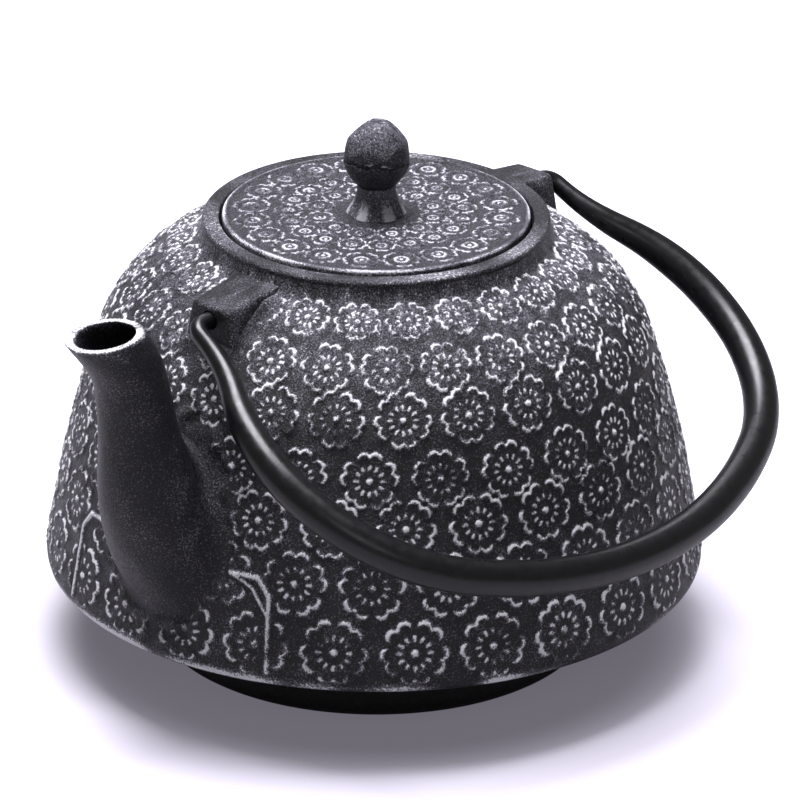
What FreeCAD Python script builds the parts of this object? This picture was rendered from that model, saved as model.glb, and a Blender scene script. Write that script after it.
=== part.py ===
import FreeCAD, Part
import math
import os
import Sketcher

# Driving sizes in millimetres and degrees, heights from the ground unless named as a drop, rise or depth
SIZES = {
    # pot wall, from the foot up to the collar
    "foot_radius": 58.0,
    "foot_corner": 6.5,
    "foot_height": 13.0,
    "rim_radius": 84.5,
    "rim_height": 20.8,
    "rim_corner": 3.0,
    "flank_foot_tilt": 8.8,
    "flank_top_tilt": 19.0,
    "flank_radius": 339.0,
    "shoulder_radius": 43.3,
    "shoulder_centre_radius": 29.75,
    "shoulder_centre_height": 68.85,
    "collar_radius": 44.1,
    "collar_height": 1.495,
    "collar_fillet": 5.0,
    "collar_edge": 0.8,
    "wall": 3.6,
    "floor_thickness": 5.0,
    "cavity_corner": 6.0,
    "foot_cavity_corner": 2.0,
    "casting_seam": 0.05,
    # mouth, with the ledge that carries the infuser and the lid
    "mouth_radius": 39.8,
    "throat_radius": 37.0,
    "mouth_depth": 5.0,
    # lugs that take the tips of the bail
    "hinge_drop": 9.4,
    "lug_reach": 62.0,
    "lug_drop": 5.6,
    "lug_top_tilt": 6.0,
    "lug_half_width": 6.0,
    "lug_flare": 1.0,
    "lug_flank_tilt": 12.0,
    "lug_depth": 21.0,
    "lug_hole_radius": 2.5,
    "lug_hole_depth": 9.0,
    # spout, as round sections along its leaning axis
    "root_distance": 66.0,
    "root_height": 44.0,
    "root_lean": 50.0,
    "root_radius": 19.0,
    "root_bore_radius": 14.5,
    "heel_distance": 78.0,
    "heel_height": 55.5,
    "heel_lean": 33.0,
    "heel_radius": 15.8,
    "belly_distance": 84.2,
    "belly_height": 68.0,
    "belly_lean": 18.0,
    "belly_radius": 12.9,
    "waist_distance": 87.6,
    "waist_height": 83.0,
    "waist_lean": 9.0,
    "waist_radius": 10.1,
    "neck_distance": 90.0,
    "neck_height": 97.0,
    "neck_lean": 14.0,
    "neck_radius": 9.2,
    "lip_distance": 99.4,
    "lip_drop": 1.7,
    "lip_lean": 40.0,
    "lip_radius": 8.7,
    "lip_tilt": 3.0,
    "lip_allowance": 9.0,
    "spout_wall": 2.0,
    # lid
    "lid_clearance": 0.8,
    "lid_rise": 0.9,
    "lid_edge": 0.6,
    "lid_plate": 3.5,
    "skirt_clearance": 0.7,
    "skirt_thickness": 3.0,
    "skirt_depth": 5.0,
    # knob, its fluted seat and the nut and washer that hold it
    "shank_radius": 2.5,
    "shank_clearance": 0.2,
    "shank_tail": 1.0,
    "seat_height": 7.6,
    "seat_base_radius": 7.6,
    "seat_base_height": 0.8,
    "seat_neck_radius": 4.9,
    "seat_neck_height": 6.0,
    "seat_flare": 7.0,
    "seat_lobe_count": 6,
    "seat_lobe_radius": 2.6,
    "seat_lobe_bite": 0.9,
    "knob_radius": 8.5,
    "knob_base_radius": 4.2,
    "knob_equator_height": 7.6,
    "knob_lower_radius": 8.8,
    "knob_side_radius": 10.7,
    "knob_crown_turn": 50.0,
    "knob_facet_count": 6,
    "knob_facet_bite": 0.5,
    "knob_crown_facet_lift": 0.7,
    "knob_facet_rise": 42.0,
    "washer_radius": 6.0,
    "washer_thickness": 1.0,
    "nut_across_flats": 8.0,
    "nut_height": 3.5,
    "nut_thread_gap": 0.05,
    # bail, a tapered rod bent in one plane
    "bail_droop": 30.0,
    "bail_reach": 108.0,
    "bail_half_width": 80.8,
    "bail_crown_radius": 112.0,
    "bail_corner_radius": 52.0,
    "bail_waist_radius": 45.0,
    "bail_waist_turn": 30.0,
    "bail_toe_out": 4.2,
    "bail_thickness": 9.2,
    "bail_thigh_thickness": 8.5,
    "bail_waist_thickness": 7.0,
    "bail_calf_thickness": 5.4,
    "bail_ankle_thickness": 4.4,
    "bail_tip_thickness": 4.0,
    "bail_tip_clearance": 1.2,
    # infuser basket
    "infuser_clearance": 0.6,
    "infuser_flange": 0.8,
    "infuser_sheet": 0.5,
    "infuser_running_gap": 0.3,
    "infuser_seam_gap": 0.05,
    "infuser_band_depth": 5.0,
    "infuser_depth": 54.0,
    "infuser_foot_radius": 30.0,
    "infuser_base_lip": 0.5,
}

# Heights that follow: the collar stands on the shoulder, and mouth, lugs, lip and lid go by its top
FORMULAS = {
    "collar_turn": "acos((collar_radius + collar_fillet - shoulder_centre_radius)"
                   " / (shoulder_radius + collar_fillet))",
    "collar_foot": "shoulder_centre_height + (shoulder_radius + collar_fillet) * sin(collar_turn)",
    "collar_top": "collar_foot + collar_height",
    "ledge_height": "collar_top - mouth_depth",
    "hinge_height": "collar_top - hinge_drop",
    "lug_top": "collar_top - lug_drop",
    "lug_foot_height": "lug_top - lug_depth",
    "lip_height": "collar_top - lip_drop",
    "lid_top": "collar_top + lid_rise",
    "base_seam": "rim_height + wall + cavity_corner * (1 + sin(flank_foot_tilt))",
    "shoulder_seam": "shoulder_centre_height + shoulder_radius * sin(flank_top_tilt)",
}

doc = FreeCAD.newDocument("teapot")
sheet = doc.addObject("Spreadsheet::Sheet", "size")
cells = {alias: str(value) for alias, value in SIZES.items()}
cells.update({alias: "=" + formula for alias, formula in FORMULAS.items()})
for row, (alias, content) in enumerate(cells.items(), start=1):
    sheet.set("A%d" % row, alias.replace("_", " "))
    sheet.set("B%d" % row, content)
    sheet.setAlias("B%d" % row, alias)
doc.recompute()


def number(expression):
    """Value of an expression in the sheet's sizes."""
    result = sheet.evalExpression(expression)
    return float(getattr(result, "Value", result))


def new_body(label):
    """Empty body for one sub-part."""
    body = doc.addObject("PartDesign::Body", label)
    body.Label = label
    return body


def new_sketch(body, name, plane, offset=None, turn=None):
    """Sketch on a plane of its body, moved by offset expressions and turned about its upright axis."""
    sketch = body.newObject("Sketcher::SketchObject", name)
    support = [feature for feature in body.Origin.OriginFeatures if feature.Role == plane]
    sketch.AttachmentSupport = (support[0], [""])
    sketch.MapMode = "FlatFace"
    if turn:
        sketch.AttachmentOffset = FreeCAD.Placement(
            FreeCAD.Vector(), FreeCAD.Rotation(FreeCAD.Vector(0, 1, 0), number(turn)))
        sketch.setExpression("AttachmentOffset.Rotation.Angle", turn)
    for axis, expression in (offset or {}).items():
        sketch.setExpression("AttachmentOffset.Base." + axis, expression)
    return sketch


def bind(sketch, constraint, expression):
    """Adds a dimension and ties it to the sheet."""
    index = sketch.addConstraint(constraint)
    sketch.setExpression("Constraints[%d]" % index, expression)


def place_point(sketch, geometry, end, across, up):
    """Fixes one end of a line or arc at a pair of expressions."""
    for kind, axis, expression in (("DistanceX", -2, across), ("DistanceY", -1, up)):
        if expression == "0":
            sketch.addConstraint(Sketcher.Constraint("PointOnObject", geometry, end, axis))
        else:
            value = number(expression)
            bind(sketch, Sketcher.Constraint(kind, -1, 1, geometry, end, value), expression)


def outline(sketch, corners, arcs=None, closed=True):
    """Chain of lines and arcs through corner expressions.

    arcs maps a segment's number to its radius and the side of travel on which its centre lies.
    """
    arcs = arcs or {}
    points = [FreeCAD.Vector(number(across), number(up), 0) for across, up in corners]
    count = len(corners) if closed else len(corners) - 1
    ends = []
    for step in range(count):
        start = points[step]
        finish = points[(step + 1) % len(points)]
        if step not in arcs:
            geometry = sketch.addGeometry(Part.LineSegment(start, finish), False)
            ends.append((geometry, 1, 2))
            continue
        radius, side = arcs[step]
        chord = finish - start
        normal = FreeCAD.Vector(-chord.y, chord.x, 0) / chord.Length
        reach = math.sqrt(number(radius) ** 2 - (chord.Length / 2) ** 2)
        centre = (start + finish) / 2 + normal * (reach if side == "left" else -reach)
        first, last = (start, finish) if side == "left" else (finish, start)
        first_angle = math.atan2(first.y - centre.y, first.x - centre.x)
        last_angle = math.atan2(last.y - centre.y, last.x - centre.x)
        circle = Part.Circle(centre, FreeCAD.Vector(0, 0, 1), number(radius))
        geometry = sketch.addGeometry(Part.ArcOfCircle(circle, first_angle, last_angle), False)
        ends.append((geometry, 1, 2) if side == "left" else (geometry, 2, 1))
        bind(sketch, Sketcher.Constraint("Radius", geometry, number(radius)), radius)
    for step, (geometry, start, finish) in enumerate(ends):
        place_point(sketch, geometry, start, *corners[step])
        if closed or step + 1 < count:
            following, following_start, _ = ends[(step + 1) % count]
            sketch.addConstraint(
                Sketcher.Constraint("Coincident", geometry, finish, following, following_start))
    if not closed:
        geometry, _, finish = ends[-1]
        place_point(sketch, geometry, finish, *corners[-1])
    return sketch


def disc(sketch, radius, across="0", up="0"):
    """Circle of a bound radius, centred at a pair of expressions."""
    centre = FreeCAD.Vector(number(across), number(up), 0)
    circle = Part.Circle(centre, FreeCAD.Vector(0, 0, 1), number(radius))
    geometry = sketch.addGeometry(circle, False)
    bind(sketch, Sketcher.Constraint("Radius", geometry, number(radius)), radius)
    place_point(sketch, geometry, 3, across, up)
    return sketch


def turned(body, kind, name, sketch):
    """Revolution or Groove of a sketch once round the upright axis."""
    feature = body.newObject("PartDesign::" + kind, name)
    feature.Profile = sketch
    feature.ReferenceAxis = (sketch, ["V_Axis"])
    feature.Angle = 360
    return feature


def lofted(body, kind, name, sections, ruled=False):
    """Loft through sketches, the first of which is its profile."""
    feature = body.newObject("PartDesign::" + kind, name)
    feature.Profile = sections[0]
    feature.Sections = sections[1:]
    feature.Ruled = ruled
    return feature


def mirrored(body, name, originals):
    """Copies of features on the other side of the body's YZ plane."""
    feature = body.newObject("PartDesign::Mirrored", name)
    plane = [item for item in body.Origin.OriginFeatures if item.Role == "YZ_Plane"]
    feature.Originals = originals
    feature.MirrorPlane = (plane[0], [""])
    body.Tip = feature
    return feature


def ringed(body, name, original, count):
    """Copies of a feature round the upright axis."""
    feature = body.newObject("PartDesign::PolarPattern", name)
    axis = [item for item in body.Origin.OriginFeatures if item.Role == "Z_Axis"]
    feature.Originals = [original]
    feature.Axis = (axis[0], [""])
    feature.Angle = 360
    feature.setExpression("Occurrences", count)
    body.Tip = feature
    return feature


# The casting is split level into base, flank and shoulder, each a ring of one turned outside and inside
flank_foot = (
    "size.rim_radius - size.rim_corner * (1 - cos(size.flank_foot_tilt))",
    "size.rim_height + size.rim_corner * (1 + sin(size.flank_foot_tilt))")
flank_top = (
    "size.shoulder_centre_radius + size.shoulder_radius * cos(size.flank_top_tilt)", "size.shoulder_seam")
throat_rise = (
    "sqrt((size.shoulder_radius - size.wall)^2"
    " - (size.throat_radius - size.shoulder_centre_radius)^2)")


def turned_outside(body):
    """Foot, undercut, rim, flank, shoulder and collar in one turned outline."""
    sketch = outline(
        new_sketch(body, body.Label + "_outside", "XZ_Plane"),
        [
            ("0", "0"),
            ("size.foot_radius - size.foot_corner", "0"),
            ("size.foot_radius", "size.foot_corner"),
            ("size.foot_radius", "size.foot_height"),
            ("size.rim_radius - size.rim_corner", "size.rim_height"),
            flank_foot,
            flank_top,
            ("size.shoulder_centre_radius + size.shoulder_radius * cos(size.collar_turn)",
             "size.shoulder_centre_height + size.shoulder_radius * sin(size.collar_turn)"),
            ("size.collar_radius", "size.collar_foot"),
            ("size.collar_radius", "size.collar_top - size.collar_edge"),
            ("size.collar_radius - size.collar_edge", "size.collar_top"),
            ("0", "size.collar_top"),
        ],
        {
            1: ("size.foot_corner", "left"),
            4: ("size.rim_corner", "left"),
            5: ("size.flank_radius", "left"),
            6: ("size.shoulder_radius", "left"),
            7: ("size.collar_fillet", "right"),
            9: ("size.collar_edge", "left"),
        })
    return turned(body, "Revolution", body.Label + "_turned", sketch)


def turned_inside(body):
    """Floor, flank and shoulder one wall in, then the throat, ledge and mouth."""
    sketch = outline(
        new_sketch(body, body.Label + "_inside", "XZ_Plane"),
        [
            ("0", "size.floor_thickness"),
            ("size.foot_radius - size.wall - size.foot_cavity_corner", "size.floor_thickness"),
            ("size.foot_radius - size.wall", "size.floor_thickness + size.foot_cavity_corner"),
            ("size.foot_radius - size.wall", "size.foot_height + size.wall"),
            ("size.rim_radius - size.wall - size.cavity_corner", "size.rim_height + size.wall"),
            ("size.rim_radius - size.wall - size.cavity_corner * (1 - cos(size.flank_foot_tilt))",
             "size.base_seam"),
            ("size.shoulder_centre_radius + (size.shoulder_radius - size.wall) * cos(size.flank_top_tilt)",
             "size.shoulder_centre_height + (size.shoulder_radius - size.wall) * sin(size.flank_top_tilt)"),
            ("size.throat_radius", "size.shoulder_centre_height + %s" % throat_rise),
            ("size.throat_radius", "size.ledge_height"),
            ("size.mouth_radius", "size.ledge_height"),
            ("size.mouth_radius", "size.collar_top + size.collar_edge"),
            ("0", "size.collar_top + size.collar_edge"),
        ],
        {
            1: ("size.foot_cavity_corner", "left"),
            4: ("size.cavity_corner", "left"),
            5: ("size.flank_radius - size.wall", "left"),
            6: ("size.shoulder_radius - size.wall", "left"),
        })
    return turned(body, "Groove", body.Label + "_hollow", sketch)


def level_cut(body, name, low, high):
    """Takes away all of the casting between two heights."""
    past_rim = "size.rim_radius + size.wall"
    sketch = outline(
        new_sketch(body, name + "_waste", "XZ_Plane"),
        [("0", low), (past_rim, low), (past_rim, high), ("0", high)])
    return turned(body, "Groove", name, sketch)


above_collar = "size.collar_top + size.wall"
below_foot = "-size.wall"
base = new_body("pot_base")
turned_outside(base)
base_hollow = turned_inside(base)
base_cut = level_cut(base, "base_cut", "size.base_seam", above_collar)

flank = new_body("pot_flank")
turned_outside(flank)
flank_hollow = turned_inside(flank)
flank_foot_cut = level_cut(flank, "flank_foot_cut", below_foot, "size.base_seam + size.casting_seam")
flank_top_cut = level_cut(flank, "flank_top_cut", "size.shoulder_seam", above_collar)

shoulder = new_body("pot_shoulder")
turned_outside(shoulder)


def lug_section(name, distance, top, half_width):
    """Flat-topped wedge section across a lug."""
    sketch = new_sketch(shoulder, name, "YZ_Plane", {"z": "-(%s)" % distance})
    foot_half = "(%s) + ((%s) - size.lug_foot_height) * tan(size.lug_flank_tilt)" % (half_width, top)
    return outline(sketch, [
        ("-(%s)" % foot_half, "size.lug_foot_height"),
        (foot_half, "size.lug_foot_height"),
        (half_width, top),
        ("-(%s)" % half_width, top),
    ])


# Lugs: a wedge that grows out of the collar, repeated on the far side
lug_run = "(size.lug_reach - size.collar_radius + size.collar_edge)"
lug = lofted(shoulder, "AdditiveLoft", "lug", [
    lug_section("lug_end", "size.lug_reach", "size.lug_top", "size.lug_half_width"),
    lug_section(
        "lug_shoulder", "size.collar_radius - size.collar_edge",
        "size.lug_top + %s * tan(size.lug_top_tilt)" % lug_run,
        "size.lug_half_width + size.lug_flare"),
], ruled=True)
mirrored(shoulder, "lug_pair", [lug])
shoulder_hollow = turned_inside(shoulder)
shoulder_cut = level_cut(shoulder, "shoulder_cut", below_foot, "size.shoulder_seam + size.casting_seam")


def spout_section(body, name, station, radius, distance=None, height=None):
    """Round section square to the spout's axis."""
    sketch = new_sketch(
        body, name, "XY_Plane",
        {"x": "-(%s)" % (distance or "size.%s_distance" % station),
         "z": height or "size.%s_height" % station},
        "-size.%s_lean" % station)
    return disc(sketch, radius)


def spout_loft(body, kind, name, root_radius, inset=""):
    """Loft along the spout's axis, through every station and on past the lip."""
    sections = [spout_section(body, name + "_root", "root", root_radius)]
    for station in ("heel", "belly", "waist", "neck", "lip"):
        radius = "size.%s_radius%s" % (station, inset)
        sections.append(spout_section(body, "%s_%s" % (name, station), station, radius))
    end_distance = "size.lip_distance + size.lip_allowance * sin(size.lip_lean)"
    end_height = "size.lip_height + size.lip_allowance * cos(size.lip_lean)"
    end_radius = "size.lip_radius%s" % inset
    sections.append(spout_section(body, name + "_end", "lip", end_radius, end_distance, end_height))
    return lofted(body, kind, name, sections)


# Hole through the flank, where the spout's bore opens into the pot
bore_inset = " - size.spout_wall"
spout_hole = spout_loft(flank, "SubtractiveLoft", "spout_hole", "size.root_bore_radius", bore_inset)

lug_hole_mouth = disc(
    new_sketch(shoulder, "lug_hole_mouth", "YZ_Plane", {"z": "-size.lug_reach"}),
    "size.lug_hole_radius", "0", "size.hinge_height")
lug_hole = shoulder.newObject("PartDesign::Pocket", "lug_hole")
lug_hole.Profile = lug_hole_mouth
lug_hole.Type = "Length"
lug_hole.Reversed = True
lug_hole.setExpression("Length", "size.lug_hole_depth")
lug_holes = mirrored(shoulder, "lug_holes", [lug_hole])

# Spout: stout root on the flank, narrow neck, and a mouth that bends forward and is cut nearly level
spout = new_body("spout")
spout_loft(spout, "AdditiveLoft", "spout_skin", "size.root_radius")
lip_span = "(size.lip_radius + size.lip_allowance) * 2"
lip_waste = outline(new_sketch(spout, "lip_waste", "XZ_Plane"), [
    ("-size.lip_distance + %s * cos(size.lip_tilt)" % lip_span,
     "size.lip_height + %s * sin(size.lip_tilt)" % lip_span),
    ("-size.lip_distance + %s * cos(size.lip_tilt)" % lip_span, "size.lip_height + %s" % lip_span),
    ("-size.lip_distance - %s * cos(size.lip_tilt)" % lip_span, "size.lip_height + %s" % lip_span),
    ("-size.lip_distance - %s * cos(size.lip_tilt)" % lip_span,
     "size.lip_height - %s * sin(size.lip_tilt)" % lip_span),
])
lip_cut = spout.newObject("PartDesign::Pocket", "lip_cut")
lip_cut.Profile = lip_waste
lip_cut.Type = "Length"
lip_cut.Midplane = True
lip_cut.setExpression("Length", "4 * size.lip_radius")
flank_waste = outline(
    new_sketch(spout, "flank_waste", "XZ_Plane"),
    [
        ("0", "%s + size.casting_seam * sin(size.flank_foot_tilt)" % flank_foot[1]),
        ("%s + size.casting_seam * cos(size.flank_foot_tilt)" % flank_foot[0],
         "%s + size.casting_seam * sin(size.flank_foot_tilt)" % flank_foot[1]),
        ("%s + size.casting_seam * cos(size.flank_top_tilt)" % flank_top[0],
         "%s + size.casting_seam * sin(size.flank_top_tilt)" % flank_top[1]),
        ("0", "%s + size.casting_seam * sin(size.flank_top_tilt)" % flank_top[1]),
    ],
    {1: ("size.flank_radius + size.casting_seam", "left")})
flank_cut = turned(spout, "Groove", "flank_cut", flank_waste)
spout_bore = spout_loft(spout, "SubtractiveLoft", "spout_bore", "size.root_bore_radius", bore_inset)

# Lid: a plate that drops inside the collar, with a locating skirt inside the infuser
lid = new_body("lid")
lid_seat = "size.ledge_height + size.infuser_flange"
infuser_inner = (
    "size.throat_radius - size.infuser_running_gap - 2 * size.infuser_sheet - size.infuser_seam_gap")
skirt_outer = "%s - size.skirt_clearance" % infuser_inner
lid_outline = outline(
    new_sketch(lid, "lid_outline", "XZ_Plane"),
    [
        ("size.shank_radius + size.shank_clearance", "size.lid_top - size.lid_plate"),
        ("%s - size.skirt_thickness" % skirt_outer, "size.lid_top - size.lid_plate"),
        ("%s - size.skirt_thickness" % skirt_outer, "%s - size.skirt_depth" % lid_seat),
        (skirt_outer, "%s - size.skirt_depth" % lid_seat),
        (skirt_outer, lid_seat),
        ("size.mouth_radius - size.lid_clearance", lid_seat),
        ("size.mouth_radius - size.lid_clearance", "size.lid_top - size.lid_edge"),
        ("size.mouth_radius - size.lid_clearance - size.lid_edge", "size.lid_top"),
        ("size.shank_radius + size.shank_clearance", "size.lid_top"),
    ],
    {6: ("size.lid_edge", "left")})
turned(lid, "Revolution", "lid_turned", lid_outline)

# Knob seat: a flared stem whose foot is scalloped into petals
seat = new_body("knob_seat")
seat_outline = outline(
    new_sketch(seat, "seat_outline", "XZ_Plane"),
    [
        ("size.shank_radius + size.shank_clearance", "size.lid_top"),
        ("size.seat_base_radius", "size.lid_top"),
        ("size.seat_base_radius", "size.lid_top + size.seat_base_height"),
        ("size.seat_neck_radius", "size.lid_top + size.seat_neck_height"),
        ("size.seat_neck_radius", "size.lid_top + size.seat_height"),
        ("size.shank_radius + size.shank_clearance", "size.lid_top + size.seat_height"),
    ],
    {2: ("size.seat_flare", "right")})
turned(seat, "Revolution", "seat_turned", seat_outline)
scallop_outline = disc(
    new_sketch(seat, "scallop_outline", "XY_Plane", {"z": "size.lid_top"}),
    "size.seat_lobe_radius", "size.seat_base_radius + size.seat_lobe_radius - size.seat_lobe_bite", "0")
scallop = seat.newObject("PartDesign::Pocket", "scallop")
scallop.Profile = scallop_outline
scallop.Type = "Length"
scallop.Reversed = True
scallop.setExpression("Length", "size.seat_height")
scallops = ringed(seat, "scallops", scallop, "size.seat_lobe_count")

# Knob: a bud-shaped ball with flats all round, on a shank that passes down through seat and lid
knob = new_body("knob")
knob_base = "(size.lid_top + size.seat_height)"
knob_equator = "(%s + size.knob_equator_height)" % knob_base
side_centre = "(size.knob_radius - size.knob_side_radius)"
crown_across = "(%s + size.knob_side_radius * cos(size.knob_crown_turn))" % side_centre
crown_up = "(%s + size.knob_side_radius * sin(size.knob_crown_turn))" % knob_equator
crown_radius = "(%s / cos(size.knob_crown_turn))" % crown_across
nut_foot = "(size.lid_top - size.lid_plate - size.washer_thickness - size.nut_height)"
knob_outline = outline(
    new_sketch(knob, "knob_outline", "XZ_Plane"),
    [
        ("0", "%s - size.shank_tail" % nut_foot),
        ("size.shank_radius", "%s - size.shank_tail" % nut_foot),
        ("size.shank_radius", knob_base),
        ("size.knob_base_radius", knob_base),
        ("size.knob_radius", knob_equator),
        (crown_across, crown_up),
        ("0", "%s + %s * (1 - sin(size.knob_crown_turn))" % (crown_up, crown_radius)),
    ],
    {
        3: ("size.knob_lower_radius", "left"),
        4: ("size.knob_side_radius", "left"),
        5: (crown_radius, "left"),
    })
turned(knob, "Revolution", "knob_turned", knob_outline)


def facet_ring(name, rise, turn, depth):
    """Ring of flats on the ball, each square to a line that rises from the ball's middle."""
    sketch = new_sketch(knob, name + "_outline", "XZ_Plane", None, turn)
    far = "(2 * size.knob_radius)"
    half = "size.knob_radius"
    corners = []
    for reach, side in ((depth, "-"), (far, "-"), (far, "+"), (depth, "+")):
        across = "%s * cos(%s) %s %s * sin(%s)" % (reach, rise, "+" if side == "-" else "-", half, rise)
        up = "%s + %s * sin(%s) %s %s * cos(%s)" % (knob_equator, reach, rise, side, half, rise)
        corners.append((across, up))
    outline(sketch, corners)
    facet = knob.newObject("PartDesign::Pocket", name)
    facet.Profile = sketch
    facet.Type = "Length"
    facet.Midplane = True
    facet.setExpression("Length", "2 * size.knob_radius")
    return ringed(knob, name + "s", facet, "size.knob_facet_count")


waist_flat = "(size.knob_radius - size.knob_facet_bite)"
crown_flat = "(%s + size.knob_crown_facet_lift)" % waist_flat
waist_facets = facet_ring("waist_facet", "0", "0", waist_flat)
crown_facets = facet_ring(
    "crown_facet", "size.knob_facet_rise", "180 / size.knob_facet_count", crown_flat)

# Washer and nut under the lid
washer = new_body("knob_washer")
washer_outline = outline(new_sketch(washer, "washer_outline", "XZ_Plane"), [
    ("size.shank_radius + size.shank_clearance", "size.lid_top - size.lid_plate - size.washer_thickness"),
    ("size.washer_radius", "size.lid_top - size.lid_plate - size.washer_thickness"),
    ("size.washer_radius", "size.lid_top - size.lid_plate"),
    ("size.shank_radius + size.shank_clearance", "size.lid_top - size.lid_plate"),
])
turned(washer, "Revolution", "washer_turned", washer_outline)

nut = new_body("knob_nut")
nut_plane = {"z": nut_foot}
nut_outline = new_sketch(nut, "nut_outline", "XY_Plane", nut_plane)
nut_corner = "(size.nut_across_flats / (2 * cos(30)))"
outline(nut_outline, [
    ("%s * cos(%d)" % (nut_corner, turn), "%s * sin(%d)" % (nut_corner, turn))
    for turn in range(30, 390, 60)
])
disc(nut_outline, "size.shank_radius + size.nut_thread_gap")
nut_block = nut.newObject("PartDesign::Pad", "nut_block")
nut_block.Profile = nut_outline
nut_block.setExpression("Length", "size.nut_height")

# Bail: crown arc, two corner arcs, drawn-in waists and tips that turn inward into the lugs
bail = new_body("bail_handle")
crown_centre = "(size.bail_reach - size.bail_crown_radius)"
corner_across = "(size.bail_half_width - size.bail_corner_radius)"
crown_drop = "(size.bail_crown_radius - size.bail_corner_radius)"
corner_along = "(%s + sqrt(%s^2 - %s^2))" % (crown_centre, crown_drop, corner_across)
crown_turn = "asin(%s / %s)" % (corner_across, crown_drop)
waist_sum = "(size.bail_corner_radius + size.bail_waist_radius)"
ankle_across = "(%s + %s * cos(size.bail_waist_turn) - size.bail_waist_radius * cos(size.bail_toe_out))" % (
    corner_across, waist_sum)
ankle_along = "(%s - %s * sin(size.bail_waist_turn) + size.bail_waist_radius * sin(size.bail_toe_out))" % (
    corner_along, waist_sum)
tip_bend = "(%s / (1 - sin(size.bail_toe_out)))" % ankle_along
tip_start = "(%s - %s * cos(size.bail_toe_out))" % (ankle_across, tip_bend)
tip_end = "(size.lug_reach - size.lug_hole_depth + size.bail_tip_clearance)"
crown_end = (
    "size.bail_crown_radius * sin(%s)" % crown_turn,
    "%s + size.bail_crown_radius * cos(%s)" % (crown_centre, crown_turn))
widest = ("size.bail_half_width", corner_along)
waist = (
    "%s + size.bail_corner_radius * cos(size.bail_waist_turn)" % corner_across,
    "%s - size.bail_corner_radius * sin(size.bail_waist_turn)" % corner_along)
grip_line = outline(
    new_sketch(bail, "grip_line", "XY_Plane"),
    [("0", "size.bail_reach"), crown_end, widest],
    {
        0: ("size.bail_crown_radius", "right"),
        1: ("size.bail_corner_radius", "right"),
    }, closed=False)
shank_line = outline(
    new_sketch(bail, "shank_line", "XY_Plane"),
    [widest, waist, (ankle_across, ankle_along), (tip_start, "0"), (tip_end, "0")],
    {
        0: ("size.bail_corner_radius", "right"),
        1: ("size.bail_waist_radius", "left"),
        2: (tip_bend, "right"),
    }, closed=False)


def bail_section(name, across, along, turn, thickness):
    """Round section square to the bail's line, turned from the crown towards the tip."""
    sketch = new_sketch(bail, name, "YZ_Plane", {"x": along, "z": across}, "-(%s)" % turn)
    return disc(sketch, "%s / 2" % thickness)


def corner_section(name, turn, thickness):
    """Section on a corner arc."""
    return bail_section(
        name, "%s + size.bail_corner_radius * sin(%s)" % (corner_across, turn),
        "%s + size.bail_corner_radius * cos(%s)" % (corner_along, turn), turn, thickness)


def waist_section(name, turn, thickness):
    """Section on a drawn-in waist arc, whose centre lies outside the bail."""
    return bail_section(
        name,
        "%s + %s * cos(size.bail_waist_turn) - size.bail_waist_radius * sin(%s)"
        % (corner_across, waist_sum, turn),
        "%s - %s * sin(size.bail_waist_turn) - size.bail_waist_radius * cos(%s)"
        % (corner_along, waist_sum, turn), turn, thickness)


ankle_turn = "(90 + size.bail_toe_out)"
waist_turn = "(90 + size.bail_waist_turn)"
calf_turn = "((%s + %s) / 2)" % (ankle_turn, waist_turn)
grip = bail.newObject("PartDesign::AdditivePipe", "grip")
grip.Profile = bail_section("grip_middle", "0", "size.bail_reach", "0", "size.bail_thickness")
grip.Spine = (grip_line, [])
shank_sections = [
    corner_section("shank_top", "90", "size.bail_thickness"),
    corner_section("shank_thigh", "90 + size.bail_waist_turn / 2", "size.bail_thigh_thickness"),
    corner_section("shank_waist", waist_turn, "size.bail_waist_thickness"),
    waist_section("shank_calf", calf_turn, "size.bail_calf_thickness"),
    waist_section("shank_ankle", ankle_turn, "size.bail_ankle_thickness"),
    bail_section("shank_bend", tip_start, "0", "180", "size.bail_tip_thickness"),
    bail_section("shank_tip", tip_end, "0", "180", "size.bail_tip_thickness"),
]
shank = bail.newObject("PartDesign::AdditivePipe", "shank")
shank.Profile = shank_sections[0]
shank.Spine = (shank_line, [])
shank.Transformation = "Multisection"
shank.Sections = shank_sections[1:]
mirrored(bail, "bail_whole", [grip, shank])
bail.Placement = FreeCAD.Placement(
    FreeCAD.Vector(), FreeCAD.Rotation(FreeCAD.Vector(1, 0, 0), number("180 + size.bail_droop")))
bail.setExpression("Placement.Rotation.Angle", "180 + size.bail_droop")
bail.setExpression("Placement.Base.z", "size.hinge_height")

# Infuser: a pressed rim that hangs on the ledge, a tapered wall and a floor
rim = new_body("infuser_rim")
band_outer = "(size.throat_radius - size.infuser_running_gap)"
rim_outline = outline(new_sketch(rim, "rim_outline", "XZ_Plane"), [
    ("%s - size.infuser_sheet" % band_outer, "size.ledge_height - size.infuser_band_depth"),
    (band_outer, "size.ledge_height - size.infuser_band_depth"),
    (band_outer, "size.ledge_height"),
    ("size.mouth_radius - size.infuser_clearance", "size.ledge_height"),
    ("size.mouth_radius - size.infuser_clearance", lid_seat),
    (infuser_inner, lid_seat),
    (infuser_inner, "size.ledge_height"),
    ("%s - size.infuser_sheet" % band_outer, "size.ledge_height"),
])
turned(rim, "Revolution", "rim_turned", rim_outline)

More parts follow.
